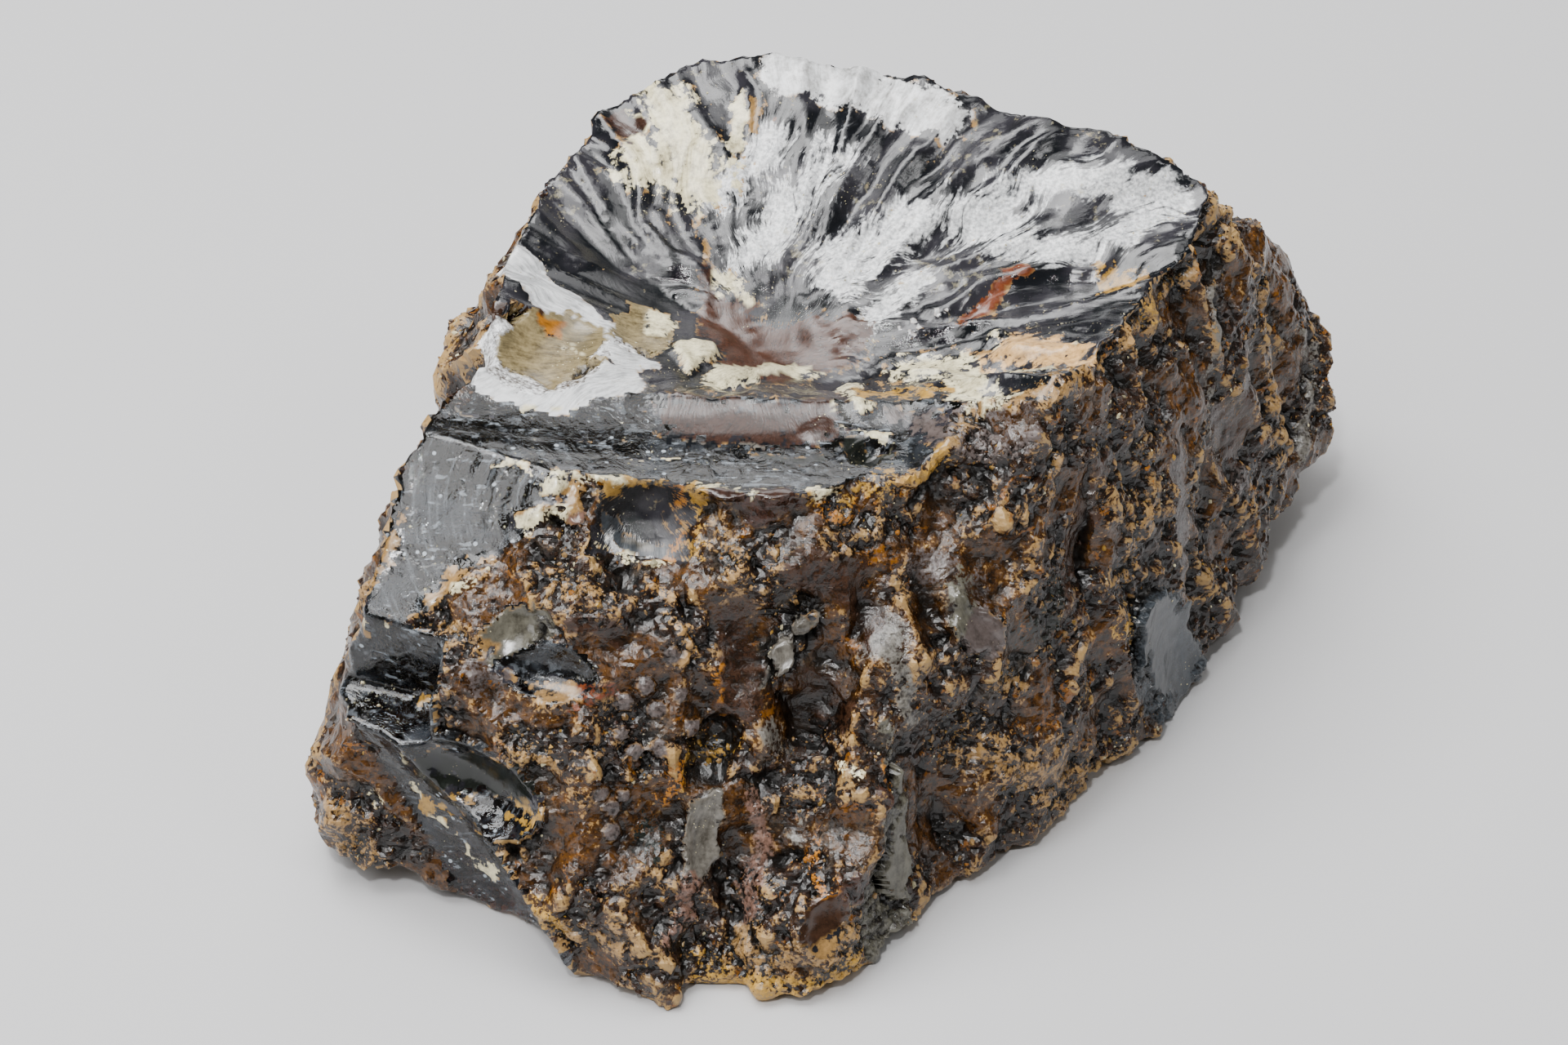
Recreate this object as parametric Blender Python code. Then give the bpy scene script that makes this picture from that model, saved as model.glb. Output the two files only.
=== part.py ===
"""A rough lump of dark amber: a nodule in its brown rind, with the top and the left front corner broken away.

Metres, +Z up. The origin is under the middle of the lump, on the surface that it rests on.
The broken corner and the widest rind face look towards -Y.
"""

import math

import bmesh
import bpy
from mathutils import Matrix, Vector, noise
from mathutils.bvhtree import BVHTree

MM = 0.001
TRIANGLES = 9700  # what the finished lump is thinned to
SLIVER = 0.00006  # corners nearer to each other than this are joined before thinning
MIDDLE = (-0.42, 0.36)  # where the middle of the finished lump is among the points below, in millimetres

# Corners of the nodule in millimetres: x to the right, y away, z up. The walls are the hull of these.
CORNERS = {
    "toe": (-15.5, -47.6, -2),
    "toe right": (-4, -47, -2),
    "toe left": (-24, -42, -2),
    "front foot": (6.5, -37.5, -2),
    "right foot": (20, -20.5, -2),
    "right heel": (33, -4.5, -1),
    "far right foot": (40, 16, 1),
    "far right low": (50, 28.5, 9),
    "far right": (50, 32.5, 17),
    "far right back": (44.5, 40, 8),
    "shoulder": (46.8, 36, 22),
    "shoulder crest": (40.5, 33.5, 29.5),
    "right rim": (32.6, 14, 46),
    "right rim back": (30.8, 19, 47),
    "right front rim": (20, -6, 46),
    "back rim": (9, 21.8, 50),
    "peak": (-4, 31.5, 52),
    "peak left": (-12, 33.5, 52),
    "left back rim": (-20.5, 31.5, 49),
    "left rim": (-29, 15, 45),
    "left front rim": (-37.4, -15.2, 45),
    "front rim": (2, -16.9, 43),
    "knee": (-44.5, -32, 20),
    "knee right": (-40.5, -33, 19),
    "grey low left": (-42.5, -28, 30),
    "belly left": (-19, -31.5, 22),
    "belly right": (6, -31, 20),
    "right wall": (28.5, -8, 18),
    "left wall": (-45.8, -14, 19),
    "left wall back": (-38, 20, 25),
    "left low": (-50, -20, 7),
    "left foot": (-50.8, -26.5, 1),
    "back wall left": (-26, 42, 22),
    "back wall": (6, 45, 24),
    "back foot left": (-30, 38, 4),
    "back foot": (4, 45.5, 5),
    "back foot right": (28, 43, 5),
    "left heel": (-46, 3, 3),
    "sole": (0, 6, -3),
}
HEART = (0, 0, 22)  # every wall can be seen from here
REACH = (50, 46, 26)  # half of each side, which spreads the sphere's points evenly
ROUNDING = 10  # passes that wear the nodule's edges round

# Valleys in the rind: points along the bottom of each, its half width and its depth.
GROOVES = {
    "front crease": {
        "route": [(2, -19, 39), (2, -24, 30), (-4, -32, 20), (-10, -39, 10), (-12.5, -47, 0)],
        "width": 3.2,
        "depth": 2.8,
    },
    "seam": {
        "route": [(-10, -27, 27), (-12, -32, 19), (-18, -37, 12)],
        "width": 1.8,
        "depth": 1.4,
    },
    "right crease": {
        "route": [(7, -22, 34), (8, -28, 24), (6, -33, 15), (9, -36, 3)],
        "width": 2.6,
        "depth": 1.8,
    },
    "rim notch": {
        "route": [(9, -16, 46), (9, -17, 38), (10, -20, 32)],
        "width": 5.5,
        "depth": 3.0,
    },
    "wall hollow": {
        "route": [(30, 4, 40), (36, 8, 25), (36, 2, 12)],
        "width": 4.5,
        "depth": 2.0,
    },
    "far hollow": {
        "route": [(38, 24, 38), (45, 24, 22), (45, 22, 8)],
        "width": 3.0,
        "depth": 2.2,
    },
    "back crease": {
        "route": [(12, 34, 42), (16, 45, 28), (12, 47, 8)],
        "width": 4.0,
        "depth": 2.4,
    },
    "left crease": {
        "route": [(-35, -3, 44), (-40, -3, 30), (-46, -8, 12)],
        "width": 7.0,
        "depth": 3.2,
    },
    "foot undercut": {
        "route": [(-47, -29, -2), (-36, -35.5, -2)],
        "width": 4.5,
        "depth": 3.4,
    },
    "foot notch": {
        "route": [(10, -33, -2), (10.5, -31, 8), (12, -27, 16)],
        "width": 4.2,
        "depth": 3.0,
    },
}

# Swellings in the rind: middle, radius and height.
MOUNDS = {
    "left belly": {"at": (-24, -32, 19), "radius": 9, "height": 2.0},
    "rim shoulder": {"at": (-22, -24, 33), "radius": 6, "height": 1.4},
    "toe left lobe": {"at": (-18, -44, 7), "radius": 6, "height": 1.2},
    "toe right lobe": {"at": (-2, -43, 7), "radius": 7, "height": 1.6},
    "front right lobe": {"at": (16, -23, 20), "radius": 7, "height": 1.2},
    "rim lobe": {"at": (20, -12, 34), "radius": 7, "height": 1.2},
    "wall lobe": {"at": (34, 12, 26), "radius": 9, "height": 1.2},
    "back lobe": {"at": (-10, 44, 20), "radius": 12, "height": 1.6},
    "back foot lobe": {"at": (24, 44, 10), "radius": 9, "height": 1.4},
}

# Roughness of the rind: size of each kind of lump and how far it stands out.
LUMPS = {"size": 12, "height": 1.0}
KNOBS = {"size": 4.4, "height": 1.0}
CRUMBS = {"size": 2.6, "height": 0.35}
FLUTES = {"size": 4.2, "stretch": 5, "height": 1.2, "from_x": 26}  # upright ribs on the right wall

# The broken top is a basin of faces that run down to a pit, and a shelf along its front.
# Each face: a point on it, the azimuth that it runs down to and its slope in degrees.
BASIN = {
    "white": {"at": (-30, 6, 40.6), "down": 95, "slope": 15},
    "striated": {"at": (-27, 24, 42.3), "down": 60, "slope": 22},
    "cream": {"at": (-14, 34, 47.6), "down": -10, "slope": 25},
    "fan": {"at": (23, 26, 44.6), "down": -17, "slope": 19.5},
    "ledge": {"at": (21, -6, 41.4), "down": 230, "slope": 20},
    "front": {"at": (-9, -7.5, 38.4), "down": 176, "slope": 25},
}
PIT_FLOOR = 33.6
SHELF = {
    "height": 37.2,
    "middle_y": -12.5,
    "back_curve": 0.035,
    "front_curve": 0.012,
    "left_end": -18,
    "left_rise": 0.1,
    "right_end": 5,
    "right_rise": 0.38,
}
HACKLE = {"from": (-8, 4), "rays": 13, "height": 0.9, "starts": 6, "full": 16}
TOP_GRID = {"reach": 64, "step": 1.1, "lid": 70}

# Breaks and chips: a point, the azimuth and elevation that it faces, half of its width and of its
# height, how far it is dished and how far it is turned.
BLOWS = {
    "grey facet": {"at": (-33.1, -19.7, 35.5), "faces": (-18, 50), "half": (14, 12), "dish": 0.7, "turn": 20},
    "lower facet": {"at": (-40.6, -26.8, 31.6), "faces": (-34, 30), "half": (6, 6), "dish": 0.5, "turn": 0},
    "bevel": {"at": (-35, -33.8, 9), "faces": (-40, -14), "half": (5.5, 15), "dish": 1.8, "turn": 38},
    "round chip": {"at": (-18.2, -20.2, 35.4), "faces": (4, 28), "half": (4.4, 3.8), "dish": 1.9, "turn": -12},
    "rim chip": {"at": (-25.2, -19.2, 37.6), "faces": (30, 40), "half": (1.8, 2.6), "dish": 0.8, "turn": -20},
    "olive chip": {"at": (-30.6, -28.6, 28.8), "faces": (14, 36), "half": (2.6, 3.4), "dish": 1.0, "turn": -30},
    "bright chip": {"at": (-26.6, -30.8, 25.6), "faces": (-8, 52), "half": (3.6, 1.8), "dish": 0.9, "turn": -10},
    "leaf chip": {"at": (-13.2, -37.6, 13), "faces": (28, 26), "half": (1.9, 4.4), "dish": 1.0, "turn": -12},
    "streak chip": {"at": (-3.6, -27.6, 28.4), "faces": (-20, 36), "half": (1.7, 5.0), "dish": 0.9, "turn": -30},
    "tall chip": {"at": (7.4, -32.8, 12.2), "faces": (4, 17), "half": (2.9, 8.4), "dish": 1.0, "turn": -8},
    "low chip": {"at": (-2.5, -42.5, 8), "faces": (20, 22), "half": (2.4, 4.4), "dish": 1.0, "turn": -16},
    "green pocket": {"at": (-33.8, -33.6, 15.4), "faces": (-14, 30), "half": (4.8, 2.6), "dish": 1.5, "turn": -14},
    "flow": {"at": (12, -24, 25), "faces": (30, 30), "half": (2.2, 6.4), "dish": 1.0, "turn": 24},
    "right grey facet": {"at": (31.5, -4.8, 10), "faces": (52, -2), "half": (5, 9), "dish": 0.8, "turn": 30},
    "oval window": {"at": (-26.8, 1.2, 39.4), "faces": (40, 72), "half": (6.0, 3.6), "dish": 1.0, "turn": 20},
    "mottled patch": {"at": (-19, 7, 38.2), "faces": (70, 70), "half": (5.0, 3.4), "dish": 0.8, "turn": 10},
    "peach chip": {"at": (17.5, -2.6, 41.2), "faces": (-40, 74), "half": (4.8, 3.2), "dish": 1.3, "turn": 20},
    "inclusion pit": {"at": (1.6, -13.2, 37.2), "faces": (20, 80), "half": (2.6, 1.6), "dish": 1.5, "turn": 30},
    "rim bite": {"at": (12, -12, 39.4), "faces": (-10, 60), "half": (5, 3.4), "dish": 1.6, "turn": -30},
    "back face": {"at": (-24, 36, 34), "faces": (206, 30), "half": (12, 10), "dish": 1.6, "turn": 0},
    "back chip": {"at": (14, 45.5, 22), "faces": (176, 8), "half": (8, 5), "dish": 2.0, "turn": 20},
    "back low chip": {"at": (-14, 43.5, 9), "faces": (188, -6), "half": (6, 4), "dish": 1.4, "turn": -15},
    "left chip": {"at": (-46.5, -6, 17), "faces": (-80, 14), "half": (6, 4), "dish": 1.5, "turn": 24},
}
BLOW_WAVES = {"size": 5, "height": 0.35}  # unevenness of a broken face
BLOW_REACH = 1.75  # how many half widths a blow's cutter spans, so that only its dished face meets the lump

# The step under the lower facet: its inner corner, the azimuth it faces, its lean and its sides.
STEP = {"at": (-35.4, -27.3, 19.6), "faces": -20, "lean": 5, "size": (26, 14, 10.8)}


def facing(azimuth, elevation):
    """Outward direction: azimuth 0 is towards -Y and 90 towards +X, elevation is above the horizon."""
    turn, rise = math.radians(azimuth), math.radians(elevation)
    return Vector((math.sin(turn) * math.cos(rise), -math.cos(turn) * math.cos(rise), math.sin(rise)))


def swell(share):
    """0 to 1 with soft ends."""
    share = min(max(share, 0.0), 1.0)
    return share * share * (3 - 2 * share)


def object_from(bm, name, material=None):
    """A named object that takes the bmesh over."""
    mesh = bpy.data.meshes.new(name)
    bm.to_mesh(mesh)
    bm.free()
    made = bpy.data.objects.new(name, mesh)
    bpy.context.scene.collection.objects.link(made)
    if material:
        mesh.materials.append(material)
    return made


def hull_walls():
    """The flat walls between the nodule's corners, to be met by rays from its heart."""
    bm = bmesh.new()
    for corner in CORNERS.values():
        bm.verts.new(Vector(corner) * MM)
    bmesh.ops.convex_hull(bm, input=bm.verts[:])
    walls = BVHTree.FromBMesh(bm)
    bm.free()
    return walls


def off_route(point, route):
    """Distance from a point to a line through several points, in millimetres."""
    nearest = math.inf
    for start, end in zip(route, route[1:]):
        start, end = Vector(start), Vector(end)
        run = end - start
        share = min(max((point - start).dot(run) / run.length_squared, 0.0), 1.0)
        nearest = min(nearest, (point - start - run * share).length)
    return nearest


def rind_relief(point):
    """How far the rind stands out at a point, both in millimetres."""
    out = LUMPS["height"] * noise.noise(point / LUMPS["size"])
    near = noise.voronoi(point / KNOBS["size"])[0]
    out += KNOBS["height"] * (min(near[1] - near[0], 0.6) / 0.6 - 0.5)
    out += CRUMBS["height"] * noise.noise(point / CRUMBS["size"])
    tall = Vector((point.x, point.y, point.z / FLUTES["stretch"])) / FLUTES["size"]
    ribbed = swell((point.x - FLUTES["from_x"]) / 12)
    out += FLUTES["height"] * ribbed * noise.noise(tall)
    for groove in GROOVES.values():
        off = off_route(point, groove["route"]) / groove["width"]
        out -= groove["depth"] * math.exp(-off * off)
    for mound in MOUNDS.values():
        off = (point - Vector(mound["at"])).length / mound["radius"]
        out += mound["height"] * math.exp(-off * off)
    return out


def rind_lump(material):
    """The whole nodule in its rind, before anything broke off."""
    walls = hull_walls()
    heart = Vector(HEART) * MM
    bm = bmesh.new()
    bmesh.ops.create_icosphere(bm, subdivisions=7, radius=1)
    for vert in bm.verts:
        way = Vector((vert.co.x * REACH[0], vert.co.y * REACH[1], vert.co.z * REACH[2])).normalized()
        vert.co = walls.ray_cast(heart, way)[0]
    for _ in range(ROUNDING):
        bmesh.ops.smooth_vert(bm, verts=bm.verts[:], factor=0.5, use_axis_x=True, use_axis_y=True, use_axis_z=True)
    bm.normal_update()
    for vert in bm.verts:
        vert.co += vert.normal * rind_relief(vert.co / MM) * MM
    return object_from(bm, "amber", material)


def basin_height(x, y):
    """Height of the highest of the basin's faces over a point, all in millimetres."""
    high = PIT_FLOOR
    for face in BASIN.values():
        turn = math.radians(face["down"])
        run = (x - face["at"][0]) * math.sin(turn) - (y - face["at"][1]) * math.cos(turn)
        high = max(high, face["at"][2] - run * math.tan(math.radians(face["slope"])))
    return high


def shelf_height(x, y):
    """Height of the shelf along the front rim, all in millimetres."""
    aside = y - SHELF["middle_y"]
    curve = SHELF["back_curve"] if aside > 0 else SHELF["front_curve"]
    high = SHELF["height"] + curve * aside * aside
    high += SHELF["left_rise"] * max(SHELF["left_end"] - x, 0)
    high += SHELF["right_rise"] * max(x - SHELF["right_end"], 0)
    return high


def broken_height(x, y):
    """Height of the broken top over a point, all in millimetres."""
    aside, away = x - HACKLE["from"][0], y - HACKLE["from"][1]
    reach, turn = math.hypot(aside, away), math.atan2(away, aside)
    ray = Vector((math.cos(turn), math.sin(turn), 0)) * HACKLE["rays"] / 2 + Vector((0, 0, reach / 16))
    rough = swell((reach - HACKLE["starts"]) / HACKLE["full"])
    hackle = HACKLE["height"] * rough * (1 - 2.4 * abs(noise.noise(ray)))
    return min(basin_height(x, y) + hackle, shelf_height(x, y))


def top_cutter():
    """Everything above the broken top."""
    cells = round(2 * TOP_GRID["reach"] / TOP_GRID["step"])
    bm = bmesh.new()
    bmesh.ops.create_grid(bm, x_segments=cells, y_segments=cells, size=TOP_GRID["reach"] * MM)
    for vert in bm.verts:
        vert.co.z = broken_height(vert.co.x / MM, vert.co.y / MM) * MM
    raised = bmesh.ops.extrude_face_region(bm, geom=bm.faces[:])
    lid = [item for item in raised["geom"] if isinstance(item, bmesh.types.BMVert)]
    for vert in lid:
        vert.co.z = TOP_GRID["lid"] * MM
    bmesh.ops.recalc_face_normals(bm, faces=bm.faces[:])
    return object_from(bm, "cut broken top")


def blow_cutter(name, blow):
    """What a blow takes off: a plug whose inner face is dished, so that it leaves the surface by itself."""
    bm = bmesh.new()
    bmesh.ops.create_grid(bm, x_segments=24, y_segments=24, size=BLOW_REACH)
    wide, tall = blow["half"]
    for vert in bm.verts:
        wave = noise.noise(Vector((vert.co.x * wide, vert.co.y * tall, blow["at"][0])) / BLOW_WAVES["size"])
        deep = blow["dish"] * (1 - vert.co.x**2 - vert.co.y**2) + BLOW_WAVES["height"] * wave
        vert.co = Vector((vert.co.x * wide, vert.co.y * tall, -deep)) * MM
    raised = bmesh.ops.extrude_face_region(bm, geom=bm.faces[:])
    lid = [item for item in raised["geom"] if isinstance(item, bmesh.types.BMVert)]
    for vert in lid:
        vert.co.z = blow["dish"] * 2 * BLOW_REACH**2 * MM + 6 * MM
    bmesh.ops.recalc_face_normals(bm, faces=bm.faces[:])
    place = facing(*blow["faces"]).to_track_quat("Z", "Y").to_matrix().to_4x4()
    place = Matrix.Translation(Vector(blow["at"]) * MM) @ place @ Matrix.Rotation(math.radians(blow["turn"]), 4, "Z")
    bmesh.ops.transform(bm, matrix=place, verts=bm.verts[:])
    return object_from(bm, "cut " + name)


def step_cutter():
    """The notch under the lower facet: a block, with the corner of the step at its inner right end."""
    bm = bmesh.new()
    bmesh.ops.create_cube(bm, size=1)
    long, deep, high = (side * MM for side in STEP["size"])
    for vert in bm.verts:
        vert.co = Vector(((vert.co.x - 0.5) * long, (vert.co.y - 0.5) * deep, (vert.co.z + 0.5) * high))
    turn = Matrix.Rotation(math.radians(STEP["faces"]), 4, "Z")
    lean = Matrix.Rotation(math.radians(STEP["lean"]), 4, "X")
    bmesh.ops.transform(bm, matrix=Matrix.Translation(Vector(STEP["at"]) * MM) @ turn @ lean, verts=bm.verts[:])
    return object_from(bm, "cut step")


def floor_cutter():
    """Everything below the surface that the lump rests on."""
    bm = bmesh.new()
    bmesh.ops.create_cube(bm, size=1)
    for vert in bm.verts:
        vert.co = Vector((vert.co.x * 130, vert.co.y * 130, (vert.co.z - 0.5) * 12)) * MM
    return object_from(bm, "cut floor")


def cut_away(lump, cutter):
    """Takes a cutter from the lump. The cutter stays as a wire helper."""
    cutter.hide_render = True
    cutter.display_type = "WIRE"
    cutter.parent = lump
    cut = lump.modifiers.new(cutter.name, "BOOLEAN")
    cut.operation = "DIFFERENCE"
    cut.solver = "EXACT"
    cut.object = cutter


def thin_out(lump):
    """Joins the slivers that the cuts leave, and thins the mesh to TRIANGLES, keeping its edges and relief."""
    join = lump.modifiers.new("join slivers", "WELD")
    join.merge_threshold = SLIVER
    graph = bpy.context.evaluated_depsgraph_get()
    mesh = lump.evaluated_get(graph).to_mesh()
    mesh.calc_loop_triangles()
    thin = lump.modifiers.new("thin out", "DECIMATE")
    thin.ratio = TRIANGLES / len(mesh.loop_triangles)
    lump.evaluated_get(graph).to_mesh_clear()


def amber_finish():
    """Dark brown rind with a waxy shine."""
    finish = bpy.data.materials.new("amber")
    finish.use_nodes = True
    shader = finish.node_tree.nodes["Principled BSDF"]
    shader.inputs["Base Color"].default_value = (0.085, 0.05, 0.03, 1)
    shader.inputs["Roughness"].default_value = 0.35
    shader.inputs["Metallic"].default_value = 0
    return finish


def main():
    for old in list(bpy.data.objects):
        bpy.data.objects.remove(old)
    lump = rind_lump(amber_finish())
    cut_away(lump, top_cutter())
    for name, blow in BLOWS.items():
        cut_away(lump, blow_cutter(name, blow))
    cut_away(lump, step_cutter())
    thin_out(lump)
    cut_away(lump, floor_cutter())
    lump.location = Vector((-MIDDLE[0], -MIDDLE[1], 0)) * MM


main()
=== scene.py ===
import math

import bmesh
import bpy
import numpy as np
from mathutils import Matrix, Vector, noise


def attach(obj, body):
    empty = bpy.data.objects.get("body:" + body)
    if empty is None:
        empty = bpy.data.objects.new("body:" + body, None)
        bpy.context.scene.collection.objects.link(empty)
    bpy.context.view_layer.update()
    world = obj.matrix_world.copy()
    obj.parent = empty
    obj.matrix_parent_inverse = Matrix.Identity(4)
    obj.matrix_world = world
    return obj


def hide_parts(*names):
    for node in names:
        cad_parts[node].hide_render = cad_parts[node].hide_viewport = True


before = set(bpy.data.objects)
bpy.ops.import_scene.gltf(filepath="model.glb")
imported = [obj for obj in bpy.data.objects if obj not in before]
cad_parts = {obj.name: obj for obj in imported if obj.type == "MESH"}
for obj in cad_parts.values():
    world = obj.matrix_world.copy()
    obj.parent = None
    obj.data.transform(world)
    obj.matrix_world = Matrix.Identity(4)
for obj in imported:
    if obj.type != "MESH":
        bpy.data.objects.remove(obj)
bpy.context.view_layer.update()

mm = 0.001

# The lists below are in millimetres from the middle of the photographed view of the lump.
# This is where the middle of the finished lump is among them.
middle = np.array((-0.42, 0.36, 0.0))

camera = {"lookAt": (-6, -4, 22), "elevation": 38, "away": 400, "lens": 99, "sensor": 36}

lump = {
    "weld": 0.002,  # points of the solid nearer than this are one
    "voxel": 0.44,  # size of the fine mesh's squares
    "triangles": 196000,  # what is left of them after the base and back are thinned
    "smoothing": 10,  # passes that take the solid's facets off the rind
}
# What is thinned first: heights and ways out of the surface, and how much more than the rest.
seenLeast = {"below": 0.3, "backward": 0.3, "upward": 0.6, "leftward": 0.75, "weight": 10}
sole = {"below": 0.25, "flatBelow": 0.45, "noLiftBelow": 1}  # heights of the flat underside
farOff = 1e9  # a distance greater than any

# The broken top: faces that run down to a pit (a point, the way down and the slope), and the shelf
# along the front rim.
basin = {
    "white": ((-30, 6, 40.6), 95, 15),
    "striated": ((-27, 24, 42.3), 60, 22),
    "cream": ((-14, 34, 47.6), -10, 25),
    "fan": ((23, 26, 44.6), -17, 19.5),
    "ledge": ((21, -6, 41.4), 230, 20),
    "front": ((-9, -7.5, 38.4), 176, 25),
}
basinFaces = ["floor"] + list(basin) + ["shelf"]
pitFloor = 33.6
shelf = {
    "height": 37.2,
    "middleY": -12.5,
    "backCurve": 0.035,
    "frontCurve": 0.012,
    "leftEnd": -18,
    "leftRise": 0.1,
    "rightEnd": 5,
    "rightRise": 0.38,
}
hackle = {"from": (-8, 4), "rays": 13, "length": 16, "height": 0.9, "starts": 6, "full": 16}
splinterSets = ((5, 0.6), (11, 0.36), (24, 0.16))  # how many rays round the pit, and their height
splintered = {"fan": 1.0, "cream": 0.8, "ledge": 0.8, "front": 0.3, "floor": 0.35}  # how much of them
stripWay = np.array((0.83, -0.55, 0.0))  # how the lines of the striated face run
stripSets = ((1.1, 2.0, 2.2, 0.1), (2.6, 7.0, 2.0, 0.22))  # their size, shift, sharpness and height

# Breaks and chips: a point, the way it faces (azimuth and elevation), half width and height, dish, turn,
# and what shows there.
blows = {
    "greyFacet": ((-33.1, -19.7, 35.5), (-18, 50), (14, 12), 0.7, 20, "glass"),
    "lowerFacet": ((-40.6, -26.8, 31.6), (-34, 30), (6, 6), 0.5, 0, "glass"),
    "bevel": ((-35, -33.8, 9), (-40, -14), (5.5, 15), 1.8, 38, "glass"),
    "roundChip": ((-18.2, -20.2, 35.4), (4, 28), (4.4, 3.8), 1.9, -12, "splinter"),
    "rimChip": ((-25.2, -19.2, 37.6), (30, 40), (1.8, 2.6), 0.8, -20, "pink"),
    "oliveChip": ((-30.6, -28.6, 28.8), (14, 36), (2.6, 3.4), 1, -30, "drab"),
    "brightChip": ((-26.6, -30.8, 25.6), (-8, 52), (3.6, 1.8), 0.9, -10, "glass"),
    "leafChip": ((-13.2, -37.6, 13), (28, 26), (1.9, 4.4), 1, -12, "ash"),
    "streakChip": ((-3.6, -27.6, 28.4), (-20, 36), (1.7, 5), 0.9, -30, "ash"),
    "tallChip": ((7.4, -32.8, 12.2), (4, 17), (2.9, 8.4), 1, -8, "drab"),
    "lowChip": ((-2.5, -42.5, 8), (20, 22), (2.4, 4.4), 1, -16, "brown"),
    "greenPocket": ((-33.8, -33.6, 15.4), (-14, 30), (4.8, 2.6), 1.5, -14, "glass"),
    "flow": ((12, -24, 25), (30, 30), (2.2, 6.4), 1, 24, "lilac"),
    "rightGreyFacet": ((31.5, -4.8, 10), (52, -2), (5, 9), 0.8, 30, "slate"),
    "ovalWindow": ((-26.8, 1.2, 39.4), (40, 72), (6, 3.6), 1, 20, "olive"),
    "mottledPatch": ((-19, 7, 38.2), (70, 70), (5, 3.4), 0.8, 10, "olive"),
    "peachChip": ((17.5, -2.6, 41.2), (-40, 74), (4.8, 3.2), 1.3, 20, "peach"),
    "inclusionPit": ((1.6, -13.2, 37.2), (20, 80), (2.6, 1.6), 1.5, 30, "glass"),
    "rimBite": ((12, -12, 39.4), (-10, 60), (5, 3.4), 1.6, -30, "crust"),
    "backFace": ((-24, 36, 34), (206, 30), (12, 10), 1.6, 0, "glass"),
    "backChip": ((14, 45.5, 22), (176, 8), (8, 5), 2, 20, "glass"),
    "backLowChip": ((-14, 43.5, 9), (188, -6), (6, 4), 1.4, -15, "drab"),
    "leftChip": ((-46.5, -6, 17), (-80, 14), (6, 4), 1.5, 24, "glass"),
}
blows = {name: dict(zip(("at", "faces", "half", "dish", "turn", "skin"), row)) for name, row in blows.items()}
# Where a facet ends and the rind goes on: a point of the border and the way out of the facet.
facetEnds = {
    "greyFacet": ((-31, -22.6, 34), (0.447, -0.894, 0)),
    "bevel": ((-39.6, -30, 9.5), (-0.908, 0, -0.419)),
}
blowWaves = {"size": 5, "height": 0.2}
# Breaks whose outline is clean.
cleanEdged = ("ovalWindow", "mottledPatch", "peachChip", "roundChip", "leafChip")
# How a break is found on the solid, and how it fades into the rind.
fades = {
    "top": {"reach": 1.0, "upright": 0.45, "full": 1.25, "over": 0.9},
    "step": {"reach": 0.9, "lead": 0.1, "full": 1.5, "over": 0.6},
    "blow": {"reach": 1.75, "search": 1.5, "full": 1.5, "over": 0.5},
    "facetEnd": {"full": 0.5, "over": 0.8, "waver": 0.9, "size": 2.2},
    "chip": {"full": 1.12, "over": 0.2, "clean": 0.12, "uneven": 0.55},
}
step = {"at": (-35.4, -27.3, 19.6), "faces": -20, "lean": 5, "size": (26, 14, 10.8)}

# Rings that spread over a break from where the blow fell, and rays across them on some.
rings = {
    "greyFacet": {"from": (-24, -20, 37), "spacing": 1.9, "height": 0.035, "reach": 11},
    "lowerFacet": {"from": (-36, -27, 31), "spacing": 1.6, "height": 0.025, "reach": 9},
    "roundChip": {"from": (-18, -18.5, 38.5), "spacing": 1.3, "height": 0.012, "reach": 8, "rays": 0.3},
    "bevel": {"from": (-40, -31, 18), "spacing": 2.4, "height": 0.03, "reach": 20},
    "greenPocket": {"from": (-38, -32, 18), "spacing": 1.2, "height": 0.05, "reach": 12, "rays": 0.1},
    "rightGreyFacet": {"from": (31, -4, 18), "spacing": 1.8, "height": 0.03, "reach": 12},
}

# Relief of the rind: size and height of each kind of lump, and how the ridges run.
rind = {
    "lumps": {"size": 8.0, "height": 1.3},
    "blocks": {"size": 3.6, "height": 0.6},
    "ridges": {"size": 2.6, "height": 0.5, "along": (0.75, -0.25, -0.6), "longer": 2.2},
    "crumbs": {"size": 1.5, "height": 0.36},
    "grit": {"size": 0.8, "height": 0.2},
}
fluted = {"from": 22, "stretch": (1.3, 1.3, 0.4)}  # lumps right of this are drawn out upright

tints = {
    "white": (0.55, 0.56, 0.57),
    "cream": (0.56, 0.51, 0.33),
    "gold": (0.3, 0.17, 0.03),
    "tan": (0.22, 0.128, 0.045),
    "pink": (0.13, 0.072, 0.052),
    "peach": (0.5, 0.3, 0.12),
    "orange": (0.28, 0.105, 0.008),
    "red": (0.11, 0.025, 0.007),
    "amber": (0.28, 0.11, 0.012),
    "pit": (0.05, 0.018, 0.009),
    "maroon": (0.034, 0.015, 0.01),
    "brown": (0.032, 0.014, 0.007),
    "olive": (0.19, 0.15, 0.075),
    "drab": (0.085, 0.08, 0.062),
    "ash": (0.112, 0.104, 0.09),
    "lilac": (0.072, 0.057, 0.053),
    # slate grey, also laid as a painted sheen on the round chip
    "slate": (0.035, 0.042, 0.05),
    "bottle": (0.006, 0.008, 0.006),
}

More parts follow.
